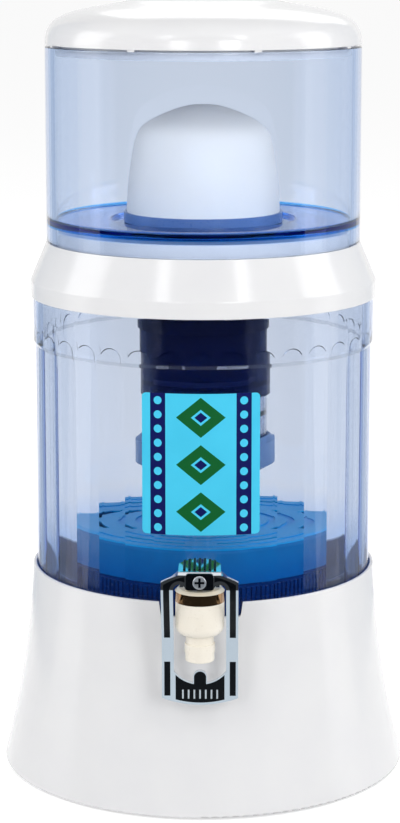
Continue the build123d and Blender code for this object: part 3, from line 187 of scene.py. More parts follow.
def linear(red, green, blue):
    """A colour from 0 to 255, made linear by the sRGB curve."""
    return tuple(
        c / 3294.6 if c < 11 else ((c / 255 + 0.055) / 1.055) ** 2.4 for c in (red, green, blue)
    ) + (1.0,)


def blank(name):
    """A material with no nodes yet."""
    finish = bpy.data.materials.new(name)
    finish.use_nodes = True
    finish.node_tree.nodes.clear()
    return finish, finish.node_tree.nodes, finish.node_tree.links


def principled(name):
    """A material with a Principled shader on its surface."""
    finish, tree, links = blank(name)
    shader = tree.new("ShaderNodeBsdfPrincipled")
    out = tree.new("ShaderNodeOutputMaterial")
    links.new(shader.outputs[0], out.inputs["Surface"])
    return finish, tree, links, shader


def noise(tree, links, scale, detail=3.0):
    place = tree.new("ShaderNodeTexCoord")
    texture = tree.new("ShaderNodeTexNoise")
    texture.inputs["Scale"].default_value = scale
    texture.inputs["Detail"].default_value = detail
    links.new(place.outputs["Object"], texture.inputs["Vector"])
    return texture.outputs["Fac"]


def spread(tree, links, source, low, high):
    """Maps a noise onto low to high."""
    node = tree.new("ShaderNodeMapRange")
    node.inputs["From Min"].default_value = NOISE_LOW
    node.inputs["From Max"].default_value = NOISE_HIGH
    node.inputs["To Min"].default_value = low
    node.inputs["To Max"].default_value = high
    links.new(source, node.inputs["Value"])
    return node.outputs["Result"]


def blend(tree, links, factor, first, second):
    """Two colours, or colour outputs, mixed by a factor."""
    node = tree.new("ShaderNodeMix")
    node.data_type = "RGBA"
    links.new(factor, node.inputs[0])
    for socket, value in ((node.inputs[6], first), (node.inputs[7], second)):
        if isinstance(value, tuple):
            socket.default_value = value
        else:
            links.new(value, socket)
    return node.outputs[2]


def maths(tree, links, operation, *values):
    """One math node over numbers and outputs."""
    node = tree.new("ShaderNodeMath")
    node.operation = operation
    for socket, value in zip(node.inputs, values):
        if isinstance(value, (int, float)):
            socket.default_value = value
        else:
            links.new(value, socket)
    return node.outputs[0]


def axes(tree, links, output):
    """The x, y and z outputs of a texture coordinate."""
    place = tree.new("ShaderNodeTexCoord")
    parts = tree.new("ShaderNodeSeparateXYZ")
    links.new(place.outputs[output], parts.inputs[0])
    return parts.outputs


def relief(tree, links, shader, height, strength, depth):
    """A bump of depth millimetres on a shader, from a height output."""
    node = tree.new("ShaderNodeBump")
    node.inputs["Strength"].default_value = strength
    node.inputs["Distance"].default_value = depth * MM
    links.new(height, node.inputs["Height"])
    links.new(node.outputs["Normal"], shader.inputs["Normal"])


# ---------------------------------------------------------------- finishes

def solid(
    name, colour, other, rough, grain=700.0, bump=0.05, depth=0.02, tone=35.0, past=None, **sockets
):
    """An opaque finish: two close tones, uneven gloss and a fine grain, all from noise.

    past is an axis, a place on it in millimetres, and the colour beyond that place."""
    finish, tree, links, shader = principled(name)
    tones = spread(tree, links, noise(tree, links, tone), 0.0, 1.0)
    base = blend(tree, links, tones, colour, other)
    if past:
        axis, place, beyond = past
        mask = maths(tree, links, "GREATER_THAN", axes(tree, links, "Object")[axis], place * MM)
        base = blend(tree, links, mask, base, beyond)
    links.new(base, shader.inputs["Base Color"])
    fine = noise(tree, links, grain, 4.0)
    links.new(spread(tree, links, fine, rough * 0.85, rough * 1.2), shader.inputs["Roughness"])
    relief(tree, links, shader, fine, bump, depth)
    for socket, value in sockets.items():
        shader.inputs[socket.replace("_", " ")].default_value = value
    return finish


def clear(
    name, colour, density, lamp, rough=0.02, tint=PURE_WHITE, cloud=None, cloudy=0.0, deep=None
):
    """A clear plastic, coloured in its thickness and, by tint, at its surfaces.

    lamp is what it leaves of the lamps' light, and cloudy its share of the milky colour cloud.
    deep is (foot, full, none, tint): another tint above foot, that fades from full to none."""
    finish, tree, links = blank(name)
    shader = tree.new("ShaderNodeBsdfPrincipled")
    shader.inputs["Base Color"].default_value = tint
    if deep:
        foot, full, none, deep_tint = deep
        height = axes(tree, links, "Object")[2]
        fade = tree.new("ShaderNodeMapRange")
        fade.inputs["From Min"].default_value = none * MM
        fade.inputs["From Max"].default_value = full * MM
        links.new(height, fade.inputs["Value"])
        above = maths(tree, links, "GREATER_THAN", height, foot * MM)
        share = maths(tree, links, "MULTIPLY", fade.outputs["Result"], above)
        links.new(blend(tree, links, share, tint, deep_tint), shader.inputs["Base Color"])
    shader.inputs["IOR"].default_value = PLASTIC_IOR
    shader.inputs["Transmission Weight"].default_value = 1.0
    fine = noise(tree, links, 160.0, 2.0)
    links.new(spread(tree, links, fine, rough * 0.6, rough * 1.4), shader.inputs["Roughness"])
    relief(tree, links, shader, fine, 0.02, 0.02)
    body = shader
    if cloud:
        milk = tree.new("ShaderNodeBsdfDiffuse")
        milk.inputs["Color"].default_value = cloud
        body = tree.new("ShaderNodeMixShader")
        body.inputs[0].default_value = cloudy
        links.new(shader.outputs[0], body.inputs[1])
        links.new(milk.outputs[0], body.inputs[2])
    through = tree.new("ShaderNodeBsdfTransparent")
    through.inputs["Color"].default_value = lamp
    path = tree.new("ShaderNodeLightPath")
    mix = tree.new("ShaderNodeMixShader")
    links.new(path.outputs["Is Shadow Ray"], mix.inputs[0])
    links.new(body.outputs[0], mix.inputs[1])
    links.new(through.outputs[0], mix.inputs[2])
    thickness = tree.new("ShaderNodeVolumeAbsorption")
    thickness.inputs["Color"].default_value = colour
    thickness.inputs["Density"].default_value = density
    out = tree.new("ShaderNodeOutputMaterial")
    links.new(mix.outputs[0], out.inputs["Surface"])
    links.new(thickness.outputs[0], out.inputs["Volume"])
    return finish


# The bonnet's bevel is painted cream from this height up, as a painted highlight.
BONNET_SPLIT = 140.25


def bonnet_finish():
    """A bronze band under a cream cap, which is a painted highlight on its bevel, parted at one
    height.
    """
    finish, tree, links, shader = principled("bonnet")
    height = axes(tree, links, "Object")[2]
    # Above this height the bevel is painted cream: a painted highlight.
    painted_highlight = maths(tree, links, "GREATER_THAN", height, BONNET_SPLIT * MM)
    tones = spread(tree, links, noise(tree, links, 60.0), 0.0, 1.0)
    metal = blend(tree, links, tones, linear(176, 140, 104), linear(150, 118, 86))
    colour = blend(tree, links, painted_highlight, metal, linear(240, 230, 208))
    links.new(colour, shader.inputs["Base Color"])
    links.new(maths(tree, links, "SUBTRACT", 1.0, painted_highlight), shader.inputs["Metallic"])
    fine = noise(tree, links, 700.0, 4.0)
    links.new(spread(tree, links, fine, 0.12, 0.2), shader.inputs["Roughness"])
    return finish


CROSS_SHADE_Y = -151.6      # the cross in the screw's head, and all behind it, is painted dark: painted shade in the recess
CASE_LIT_TOP_Z = 146.6          # the case's lid is painted a brighter blue from here up: painted light on its top face

WHITE = solid("white_plastic", linear(233, 233, 235), linear(236, 236, 237), 0.16, bump=0.03)
IVORY = solid("ivory_plastic", linear(240, 232, 216), linear(246, 240, 228), 0.3)
CHROME = solid(
    "chrome", linear(226, 232, 238), linear(216, 222, 230), 0.07, grain=350.0, Metallic=1.0
)
STEEL = solid("steel", linear(188, 190, 194), linear(172, 175, 180), 0.22, Metallic=1.0)
# The screw's cross and all behind it are painted dark, as painted shade in the recess.
SCREW = solid(
    "screw_steel", linear(226, 231, 238), linear(206, 212, 220), 0.4,
    past=(1, CROSS_SHADE_Y, linear(18, 24, 34)), Metallic=1.0,
)
BLACK = solid("black_plastic", linear(2, 5, 11), linear(4, 8, 15), 0.3, Specular_IOR_Level=0.15)
NAVY = solid("navy_plastic", linear(12, 30, 92), linear(9, 24, 80), 0.22)
COLLAR = solid("collar_plastic", linear(88, 118, 168), linear(98, 130, 182), 0.3)
RUBBER = solid("grey_rubber", linear(66, 68, 72), linear(54, 56, 60), 0.62, bump=0.2)
CERAMIC = solid(
    "ceramic", linear(253, 248, 240), linear(255, 251, 244), 0.5, grain=2600.0, bump=0.25
)
CARBON = solid(
    "carbon", linear(6, 8, 16), linear(16, 19, 32), 0.6, grain=900.0, bump=0.9, depth=0.5,
    tone=900.0,
)
ZEOLITE = solid(
    "zeolite", linear(176, 180, 178), linear(206, 205, 196), 0.75, grain=800.0, bump=0.8,
    depth=0.5, tone=800.0,
)
MINERAL = solid(
    "mineral", linear(150, 134, 116), linear(190, 176, 158), 0.6, grain=420.0, bump=0.6,
    depth=0.4, tone=420.0,
)
FELT = solid(
    "felt", linear(222, 224, 226), linear(204, 207, 211), 0.9, grain=1900.0, bump=0.7, depth=0.2
)
# The case's top face is painted lighter: a painted highlight, for the light and gloss that
# brighten it.
CASE = solid(
    "case_plastic", linear(8, 134, 200), linear(5, 124, 190), 0.38,
    past=(2, CASE_LIT_TOP_Z, linear(20, 190, 255)), Specular_IOR_Level=0.25,
)
CASE_FOOT = solid("case_foot_plastic", linear(14, 78, 140), linear(10, 66, 126), 0.24)
PAD_MARK = solid("pad_mark", linear(196, 206, 214), linear(182, 194, 204), 0.35)
BONNET = bonnet_finish()
TANK = clear(
    "blue_tank", (0.16, 0.40, 0.76, 1.0), 50.0, (0.76, 0.8, 0.86, 1.0),
    tint=(0.885, 0.88, 0.88, 1.0), deep=(0.0, 108.0, 150.0, (0.34, 0.56, 0.92, 1.0)),
)
# Its floor, from 328.4 to 332.8 mm up, is tinted a deeper blue: painted shade on the floor.
UPPER_TANK = clear(
    "upper_blue_tank", (0.16, 0.40, 0.76, 1.0), 46.0, PURE_WHITE,
    deep=(328.4, 332.0, 332.8, (0.02, 0.3, 0.8, 1.0)),
)
CARTRIDGE = clear(
    "cartridge_plastic", (0.1, 0.3, 0.72, 1.0), 200.0, (0.3, 0.42, 0.7, 1.0), rough=0.1,
    cloud=linear(4, 30, 92), cloudy=0.5,
)
SLEEVE = clear(
    "sleeve_plastic", (0.25, 0.42, 0.72, 1.0), 70.0, (0.9, 0.94, 1.0, 1.0), rough=0.08
)
CAP = clear(
    "cap_plastic", (0.25, 0.42, 0.72, 1.0), 50.0, (0.9, 0.94, 1.0, 1.0), rough=0.1,
    cloud=linear(150, 186, 228), cloudy=0.55,
)

FINISHES = {
    "base_stand": (WHITE, "white_plastic"),
    "rubber_feet": (RUBBER, "grey_rubber"),
    "lid": (WHITE, "white_plastic"),
    "ceramic_dome": (CERAMIC, "ceramic"),
    "dome_collar": (COLLAR, "case_blue"),
    "dome_gasket": (RUBBER, "grey_rubber"),
    "dome_wing_nut": (NAVY, "navy_plastic"),
    "cartridge_head": (CARTRIDGE, "navy_plastic"),
    "cartridge_seal": (RUBBER, "grey_rubber"),
    "cartridge_body": (CARTRIDGE, "navy_plastic"),
    "cartridge_sleeve": (SLEEVE, "clear_plastic"),
    "cartridge_cap": (CAP, "clear_plastic"),
    "filter_pads": (FELT, "felt"),
    "carbon_bed": (CARBON, "carbon"),
    "zeolite_bed": (ZEOLITE, "zeolite"),
    "mineral_bed": (MINERAL, "mineral"),
    "mineral_case_base": (CASE_FOOT, "case_blue"),
    "mineral_case_lid": (CASE, "case_blue"),
    "mineral_stones": (MINERAL, "mineral"),
    "tap_body": (IVORY, "ivory_plastic"),
    "tap_washers": (RUBBER, "grey_rubber"),
    "tap_nut": (IVORY, "ivory_plastic"),
    "tap_bonnet": (BONNET, "chrome"),
    "tap_lever": (CHROME, "chrome"),
    "lever_inlays": (BLACK, "black_plastic"),
    "lever_screw": (SCREW, "steel"),
    "lever_pin": (STEEL, "steel"),
    "valve_stem": (STEEL, "steel"),
    "valve_seal": (RUBBER, "grey_rubber"),
    "valve_spring": (STEEL, "steel"),
}
for node_name, (node_finish, slot_name) in FINISHES.items():
    node = nodes[node_name]
    node.data.materials.clear()
    node.data.materials.append(node_finish)


# ---------------------------------------------------------------- lower tank

TANK_FOOT = 95.0
TANK_FLOOR = 99.5
TANK_FOOT_ROUND = 6.0
TANK_FLOOR_ROUND = 2.5
OUTER_R = 100.4
BAND_R = 101.5
BAND_FOOT = 257.5
BAND_SLOPE = 2.2
SHOULDER = 286.0        # the ring stands on it
SPIGOT_R = 99.4
TANK_TOP = 290.5
BORE_R = 96.1
PANELS = 34
PANEL_APOTHEM = 95.5
ARCH_TOP = 266.5
ARCH_RISE = 5.6
ARCH_HALF_W = 7.0
LEDGE = 0.25            # half the height of the step at the top of a panel
LEDGE_FADE = 7.0        # how fast that step softens towards the edge of its arch
LEDGE_FADE_FROM = 0.9   # of the arch's half width
COLUMNS_PER_PANEL = 14
TANK_SHARP = 5.0        # edges of more degrees than this stay sharp
TANK_CUT_SHARP = 4.0    # once the boss and the bore are in
TAP_BOSS_R = 11.2
TAP_BOSS_Y = (-94.2, -102.0)
TAP_BORE_R = 7.6
TAP_BORE_Y = (-90.0, -104.0)

arch_radius = (ARCH_HALF_W ** 2 + ARCH_RISE ** 2) / (2 * ARCH_RISE)


def tank_column(offset):
    """Section of the lower tank at an angle from the middle of a panel."""
    across = abs(PANEL_APOTHEM * tan(offset))
    inner = min(across, ARCH_HALF_W)
    arch = ARCH_TOP - arch_radius + sqrt(arch_radius ** 2 - inner ** 2)
    ledge = LEDGE + LEDGE_FADE * max(0.0, across - LEDGE_FADE_FROM * ARCH_HALF_W)
    panel_r = PANEL_APOTHEM / cos(offset)
    return rounded(
        (0.0, TANK_FOOT),
        (OUTER_R, TANK_FOOT, TANK_FOOT_ROUND),
        (OUTER_R, BAND_FOOT, 0.6),
        (BAND_R, BAND_FOOT + BAND_SLOPE, 0.8),
        (BAND_R, SHOULDER, 0.5),
        (SPIGOT_R, SHOULDER),
        (SPIGOT_R, TANK_TOP, 0.4),
        (BORE_R, TANK_TOP, 0.4),
        (BORE_R, arch + ledge),
        (panel_r, arch - ledge),
        (panel_r, TANK_FLOOR, TANK_FLOOR_ROUND),
        (0.0, TANK_FLOOR),
    )


tank_columns = PANELS * COLUMNS_PER_PANEL
tank_points = []
tank_rows = 0
for column in range(tank_columns):
    offset = ((column % COLUMNS_PER_PANEL) / COLUMNS_PER_PANEL - 0.5) * 2 * pi / PANELS
    angle = 2 * pi * column / tank_columns - pi / PANELS + FRONT
    section = tank_column(offset)
    tank_rows = len(section)
    tank_points += [(r * cos(angle), r * sin(angle), z) for r, z in section]
lower = mesh_piece(
    "lower_tank_shell", tank_points, ring_faces(tank_columns, tank_rows), "lower_tank_unit", TANK,
    TANK_SHARP,
)
cut(lower, rod("boss", TAP_BOSS_R, TAP_BOSS_Y), "UNION")
cut(lower, rod("bore", TAP_BORE_R, TAP_BORE_Y), "DIFFERENCE")
smooth(lower, TANK_CUT_SHARP)
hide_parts("lower_tank")


# ---------------------------------------------------------------- upper tank

RING_TOP = 318.4        # the upper tank's wall stands on it
UPPER_R = 93.0
UPPER_BORE_R = 87.6
UPPER_TOP = 433.0
UPPER_FLOOR = 331.7
UPPER_FLOOR_THICK = 2.0
RECESS_R = 55.0         # of the hollow that the dome's collar stands in
RECESS_DEPTH = 2.0
RECESS_SLOPE = 2.0
STEM_HOLE_R = 6.3
SPOUT_RING_R = 30.0     # the ring that the cartridge screws on
SPOUT_RING_BORE_R = 26.0
SPOUT_RING_FOOT = 315.0
UPPER_SPIGOT_R = 90.0
UPPER_SPIGOT_BORE_R = 87.0
UPPER_SPIGOT_FOOT = 307.0

recess_floor = UPPER_FLOOR - RECESS_DEPTH
floor_under = UPPER_FLOOR - UPPER_FLOOR_THICK
recess_under = recess_floor - UPPER_FLOOR_THICK
upper = lathe(
    "upper_tank_shell",
    rounded(
        (UPPER_R, RING_TOP),
        (UPPER_R, UPPER_TOP, 0.8),
        (UPPER_BORE_R, UPPER_TOP, 0.8),
        (UPPER_BORE_R, UPPER_FLOOR, 1.6),
        (RECESS_R, UPPER_FLOOR, 0.4),
        (RECESS_R - RECESS_SLOPE, recess_floor, 0.3),
        (STEM_HOLE_R, recess_floor),
        (STEM_HOLE_R, recess_under),
        (SPOUT_RING_BORE_R, recess_under),
        (SPOUT_RING_BORE_R, SPOUT_RING_FOOT, 0.4),
        (SPOUT_RING_R, SPOUT_RING_FOOT, 0.4),
        (SPOUT_RING_R, recess_under),
        (RECESS_R - RECESS_SLOPE / 2, recess_under, 0.3),
        (RECESS_R + RECESS_SLOPE / 2, floor_under, 0.4),
        (UPPER_SPIGOT_BORE_R, floor_under, 0.9),
        (UPPER_SPIGOT_BORE_R, UPPER_SPIGOT_FOOT, 0.5),
        (UPPER_SPIGOT_R, UPPER_SPIGOT_FOOT, 0.5),
        (UPPER_SPIGOT_R, RING_TOP),
    ),
    "upper_tank_unit",
    UPPER_TANK,
)
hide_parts("upper_tank")


# ---------------------------------------------------------------- ring between the tanks

RING_R = 102.7
RING_BAND_TOP = 295.6
RING_CORNER = 2.5
RING_WALL = 2.4
CONE_TOP_R = 93.0
RING_LIP_R = 90.3       # inner edge of the ring's top
DECK_TOP = 306.0
DECK_THICK = 2.5
PLATFORM_R = 86.4
PLATFORM_TOP = 326.0
PLATFORM_HOLE_R = 56.0
PLATFORM_WALL = 2.2
SOCKET_R = 99.7         # clear of the lower tank's spigot
SOCKET_TOP = 293.2
DECK_RIBS = 12
DECK_RIB_HALF = 1.0


def cone_inside(height):
    """Radius of the cone's inner face."""
    slope = (RING_R - CONE_TOP_R) / (RING_TOP - RING_BAND_TOP)
    return CONE_TOP_R + slope * (RING_TOP - height) - RING_WALL


deck_under = DECK_TOP - DECK_THICK
ring_shell = lathe(
    "ring_shell",
    rounded(
        (RING_R, SHOULDER, 0.3),
        (RING_R, RING_BAND_TOP, RING_CORNER),
        (CONE_TOP_R, RING_TOP, 0.4),
        (RING_LIP_R, RING_TOP, 0.3),
        (cone_inside(DECK_TOP), DECK_TOP),
        (PLATFORM_R, DECK_TOP),
        (PLATFORM_R, PLATFORM_TOP, 0.8),
        (PLATFORM_HOLE_R, PLATFORM_TOP, 0.4),
        (PLATFORM_HOLE_R, PLATFORM_TOP - PLATFORM_WALL),
        (PLATFORM_R - PLATFORM_WALL, PLATFORM_TOP - PLATFORM_WALL),
        (PLATFORM_R - PLATFORM_WALL, deck_under),
        (cone_inside(deck_under), deck_under),
        (SOCKET_R, SOCKET_TOP),
        (SOCKET_R, SHOULDER),
    ),
    "ring",
    WHITE,
)
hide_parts("ring_cover")

# Thin ribs in the corner under the deck stiffen the cone.
rib_line = (
    (PLATFORM_R - PLATFORM_WALL / 2, deck_under + DECK_THICK / 2),
    (cone_inside(deck_under) + RING_WALL / 2, deck_under + DECK_THICK / 2),
    (SOCKET_R + RING_WALL / 2, SOCKET_TOP),
)
rib_points = []
rib_faces = []
for rib in range(DECK_RIBS):
    angle = 2 * pi * (rib + 0.5) / DECK_RIBS
    first = len(rib_points)
    for side in (-DECK_RIB_HALF, DECK_RIB_HALF):
        rib_points += [
            (r * cos(angle) - side * sin(angle), r * sin(angle) + side * cos(angle), z)
            for r, z in rib_line
        ]
    rib_faces += [(first, first + 1, first + 2), (first + 3, first + 4, first + 5)]
    for near, far in ((0, 1), (1, 2), (2, 0)):
        rib_faces.append((first + near, first + far, first + far + 3, first + near + 3))
ring_ribs = mesh_piece("ring_ribs", rib_points, rib_faces, "ring", WHITE)


# ---------------------------------------------------------------- label

LABEL_R = 100.45
LABEL_THICK = 0.3
LABEL_HALF_ANGLE = radians(19.3)
LABEL_FOOT = 162.3
LABEL_TOP = 243.8
LABEL_CORNER = 2.4
LABEL_COLUMNS = 48
LABEL_ROWS = 8
LABEL_SHARP = 40.0

# Its print: an upright navy band of discs at each side, and a column of diamonds.
DISC_BAND_OUT = 24.5    # from the label's middle line
DISC_BAND_HALF = 4.4
DISCS = 10              # in each band
DISC_R = 2.3
DIAMONDS = 3
DIAMOND_HALF_W = 14.0
DIAMOND_HALF_H = 11.5
DIAMOND_EYE = 0.4       # shares of a diamond
DIAMOND_PUPIL = 0.26

label_half_w = LABEL_HALF_ANGLE * LABEL_R
label_height = LABEL_TOP - LABEL_FOOT


def label_finish():
    """The printed sheet, drawn in millimetres from its middle line and its foot."""
    finish, tree, links, shader = principled("label_print")

    def m(operation, *values):
        return maths(tree, links, operation, *values)

    def off(value, centre):
        return m("ABSOLUTE", m("SUBTRACT", value, centre))

    def paint(under, mask, colour):
        return blend(tree, links, mask, under, colour)

    navy = linear(2, 14, 92)
    green = linear(0, 98, 42)
    ground = linear(70, 206, 243)
    sheet = axes(tree, links, "UV")
    x = m("MULTIPLY", m("SUBTRACT", sheet[0], 0.5), 2 * label_half_w)
    y = m("MULTIPLY", sheet[1], label_height)
    tones = spread(tree, links, noise(tree, links, 40.0), 0.0, 1.0)
    colour = blend(tree, links, tones, ground, linear(66, 201, 238))

    pitch = label_height / DISCS
    along = m("MULTIPLY", m("SUBTRACT", m("FRACT", m("DIVIDE", y, pitch)), 0.5), pitch)
    for centre in (-DISC_BAND_OUT, DISC_BAND_OUT):
        aside = off(x, centre)
        colour = paint(colour, m("LESS_THAN", aside, DISC_BAND_HALF), navy)
        reach = m("ADD", m("MULTIPLY", along, along), m("MULTIPLY", aside, aside))
        colour = paint(colour, m("LESS_THAN", reach, DISC_R ** 2), ground)

    for rank in range(DIAMONDS):
        centre = label_height * (rank + 0.5) / DIAMONDS
        lean = m(
            "ADD", m("DIVIDE", off(x, 0.0), DIAMOND_HALF_W),
            m("DIVIDE", off(y, centre), DIAMOND_HALF_H),
        )
        for share, ink in ((1.0, green), (DIAMOND_EYE, ground), (DIAMOND_PUPIL, navy)):
            colour = paint(colour, m("LESS_THAN", lean, share), ink)

    links.new(colour, shader.inputs["Base Color"])
    fine = noise(tree, links, 600.0, 3.0)
    links.new(spread(tree, links, fine, 0.28, 0.4), shader.inputs["Roughness"])
    shader.inputs["Specular IOR Level"].default_value = 0.3
    return finish


side_points = LABEL_ROWS + 1
column_points = 2 * side_points
label_points = []
label_faces = []
for column in range(LABEL_COLUMNS + 1):
    across = (0.5 - 0.5 * cos(pi * column / LABEL_COLUMNS)) * 2 * label_half_w
    from_side = min(across, 2 * label_half_w - across)
    short = 0.0
    if from_side < LABEL_CORNER:
        short = LABEL_CORNER - sqrt(LABEL_CORNER ** 2 - (LABEL_CORNER - from_side) ** 2)
    angle = FRONT - LABEL_HALF_ANGLE + across / LABEL_R
    for radius in (LABEL_R, LABEL_R + LABEL_THICK):
        for row in range(side_points):
            height = LABEL_FOOT + short + (label_height - 2 * short) * row / LABEL_ROWS
            label_points.append((radius * cos(angle), radius * sin(angle), height))
for column in range(LABEL_COLUMNS):
    a, b = column * column_points, (column + 1) * column_points
    for side in (0, side_points):
        for first in range(side, side + LABEL_ROWS):
            label_faces.append((a + first, b + first, b + first + 1, a + first + 1))
    for edge in (0, LABEL_ROWS):
        outer = edge + side_points
        label_faces.append((a + edge, b + edge, b + outer, a + outer))
for column in (0, LABEL_COLUMNS):
    a = column * column_points
    for first in range(a, a + LABEL_ROWS):
        outer = first + side_points
        label_faces.append((first, first + 1, outer + 1, outer))
label = mesh_piece(
    "label_sheet", label_points, label_faces, "lower_tank_unit", label_finish(), LABEL_SHARP
)
sheet_map = label.data.uv_layers.new(name="sheet")
for loop in label.data.loops:
    spot = label.data.vertices[loop.vertex_index].co / MM
    bearing = Vector((0.0, -1.0)).angle_signed(Vector((spot.x, spot.y)), 0.0)
    sheet_map.data[loop.index].uv = (
        0.5 - bearing / (2 * LABEL_HALF_ANGLE), (spot.z - LABEL_FOOT) / label_height
    )
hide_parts("front_label")


# ---------------------------------------------------------------- dark lines on the lever's crown, painted shade in the grooves between its ribs

GRIP_SHADE_LINES = 7
GRIP_STEPS = 4          # spans along each line
GRIP_PITCH = 2.8
GRIP_FRONT = -146.0
GRIP_TOP = 154.4        # at the front end of the lines
GRIP_RISE = 0.151       # per millimetre towards the rear
GRIP_BEAD_R = 0.75
CROWN_BOW_R = 13.18
CROWN_BOW_Y = -142.68   # centre of the arc that bows the crown's rear edge
CROWN_MARGIN = 1.2

for rib in range(GRIP_SHADE_LINES):
    x = (rib - (GRIP_SHADE_LINES - 1) / 2) * GRIP_PITCH
    rear = CROWN_BOW_Y + sqrt(CROWN_BOW_R ** 2 - x ** 2) - CROWN_MARGIN
    path = []
    for step in range(GRIP_STEPS + 1):
        y = GRIP_FRONT + (rear - GRIP_FRONT) * step / GRIP_STEPS
        path.append((x, y, GRIP_TOP - GRIP_BEAD_R / 3 + GRIP_RISE * (y - GRIP_FRONT)))
    # Each black bead is painted shade and dark reflection in a groove between the crown's ribs.
    tube(f"grip_shade_line_{rib + 1}", path, GRIP_BEAD_R, "lever", BLACK)


# ---------------------------------------------------------------- threads

THREAD_STEPS = 40       # spans in a turn
THREAD_SIDES = 2
STEM_R = 6.0
SHANK_R = 7.3


def thread(name, radius, bead, start, end, pitch, body, finish, upright=True):
    """A screw thread as a bead, about the object's axis or about the tap's shank."""
    turns = abs(end - start) / pitch
    count = int(turns * THREAD_STEPS)
    path = []
    for step in range(count + 1):
        angle = 2 * pi * turns * step / count
        along = start + (end - start) * step / count
        if upright:
            path.append((radius * cos(angle), radius * sin(angle), along))
        else:
            path.append((radius * cos(angle), along, TAP_Z + radius * sin(angle)))
    return tube(name, path, bead, body, finish, THREAD_SIDES)


stem_thread = thread(
    "stem_thread", STEM_R, bead=0.35, start=314.9, end=318.2, pitch=1.6,
    body="upper_tank_unit", finish=COLLAR,
)
spout_thread = thread(
    "spout_thread", SPOUT_RING_R, bead=0.25, start=315.8, end=325.8, pitch=3.0,
    body="upper_tank_unit", finish=UPPER_TANK,
)
shank_thread = thread(
    "shank_thread", SHANK_R, bead=0.35, start=-80.5, end=-84.6, pitch=1.4,
    body="lower_tank_unit", finish=IVORY, upright=False,
)


# ---------------------------------------------------------------- marks on the push plate

PAD_MARKS = 7
PAD_MARK_STEPS = 6      # spans up each mark
PAD_MARK_PITCH = 3.2
PAD_MARK_FOOT = 75.8
PAD_MARK_TOP = 81.0
PAD_MARK_R = 0.5
LEAN_FROM = 112.0       # below this height the lever's legs lean forward
LEAN_DROP = 43.0
LEAN_OUT = 2.7
LEG_Y = -131.0
PLATE_FACE = 1.503      # how far the push plate stands in front of the legs' line


def pad_face(height):
    """Where the push plate's front face lies, which leans as the legs do."""
    return LEG_Y + LEAN_OUT * (LEAN_FROM - height) / LEAN_DROP - PLATE_FACE


for mark in range(PAD_MARKS):
    x = (mark - (PAD_MARKS - 1) / 2) * PAD_MARK_PITCH
    path = []
    for step in range(PAD_MARK_STEPS + 1):
        height = PAD_MARK_FOOT + (PAD_MARK_TOP - PAD_MARK_FOOT) * step / PAD_MARK_STEPS
        path.append((x, pad_face(height), height))
    tube(f"pad_mark_{mark + 1}", path, PAD_MARK_R, "lever", PAD_MARK)


# ---------------------------------------------------------------- surroundings, in metres

SOFT_LIGHT = 0.44       # of the white surroundings, on matt surfaces
BACKGROUND = 1.0
FLOOR_GLOW = 0.6        # lifts the floor to white where it shows as the background
FLOOR_TONE = 0.8
FLOOR_HALF = 25.0


def sees_background(tree, links):
    """1 for rays that show the background: from the camera, or through gloss and glass only."""
    path = tree.new("ShaderNodeLightPath")
    seen = path.outputs["Is Camera Ray"]
    for kind in ("Is Transmission Ray", "Is Glossy Ray"):
        seen = maths(tree, links, "MAXIMUM", seen, path.outputs[kind])
    direct = maths(tree, links, "LESS_THAN", path.outputs["Diffuse Depth"], 0.5)
    return maths(tree, links, "MULTIPLY", seen, direct)


world = bpy.data.worlds.new("studio")
bpy.context.scene.world = world
world.use_nodes = True
sky, sky_links = world.node_tree.nodes, world.node_tree.links
sky.clear()
choice = sky.new("ShaderNodeMixShader")
sky_links.new(sees_background(sky, sky_links), choice.inputs[0])
for socket, strength in ((choice.inputs[1], SOFT_LIGHT), (choice.inputs[2], BACKGROUND)):
    light = sky.new("ShaderNodeBackground")
    light.inputs["Color"].default_value = PURE_WHITE
    light.inputs["Strength"].default_value = strength
    sky_links.new(light.outputs[0], socket)
end = sky.new("ShaderNodeOutputWorld")
sky_links.new(choice.outputs[0], end.inputs["Surface"])


def stage_piece(name, points, faces, finish):
    mesh = bpy.data.meshes.new(name)
    mesh.from_pydata(points, [], faces)
    mesh.materials.append(finish)
    piece = add(name, mesh)
    return piece


floor_finish, floor_tree, floor_links = blank("floor")
pale = floor_tree.new("ShaderNodeBsdfDiffuse")
pale.inputs["Color"].default_value = (FLOOR_TONE, FLOOR_TONE, FLOOR_TONE, 1.0)
glow = floor_tree.new("ShaderNodeEmission")
glow.inputs["Color"].default_value = PURE_WHITE
floor_seen = sees_background(floor_tree, floor_links)
floor_links.new(
    maths(floor_tree, floor_links, "MULTIPLY", floor_seen, FLOOR_GLOW), glow.inputs["Strength"]
)
both = floor_tree.new("ShaderNodeAddShader")
floor_links.new(pale.outputs[0], both.inputs[0])
floor_links.new(glow.outputs[0], both.inputs[1])
floor_out = floor_tree.new("ShaderNodeOutputMaterial")
floor_links.new(both.outputs[0], floor_out.inputs["Surface"])
floor_corners = ((-1, -1), (1, -1), (1, 1), (-1, 1))
stage_piece(
    "floor", [(x * FLOOR_HALF, y * FLOOR_HALF, 0.0) for x, y in floor_corners], [(0, 1, 2, 3)],
    floor_finish,
)

# Cards round the set, as a studio uses for chrome and glass: they show in gloss alone.
CARD_STEPS = 24
CARD_PROFILE = ((0.42, 0.002), (3.0, 0.002), (3.2, 0.2), (3.2, 3.2))
APRON_PROFILE = ((0.16, 0.002), (0.42, 0.002))


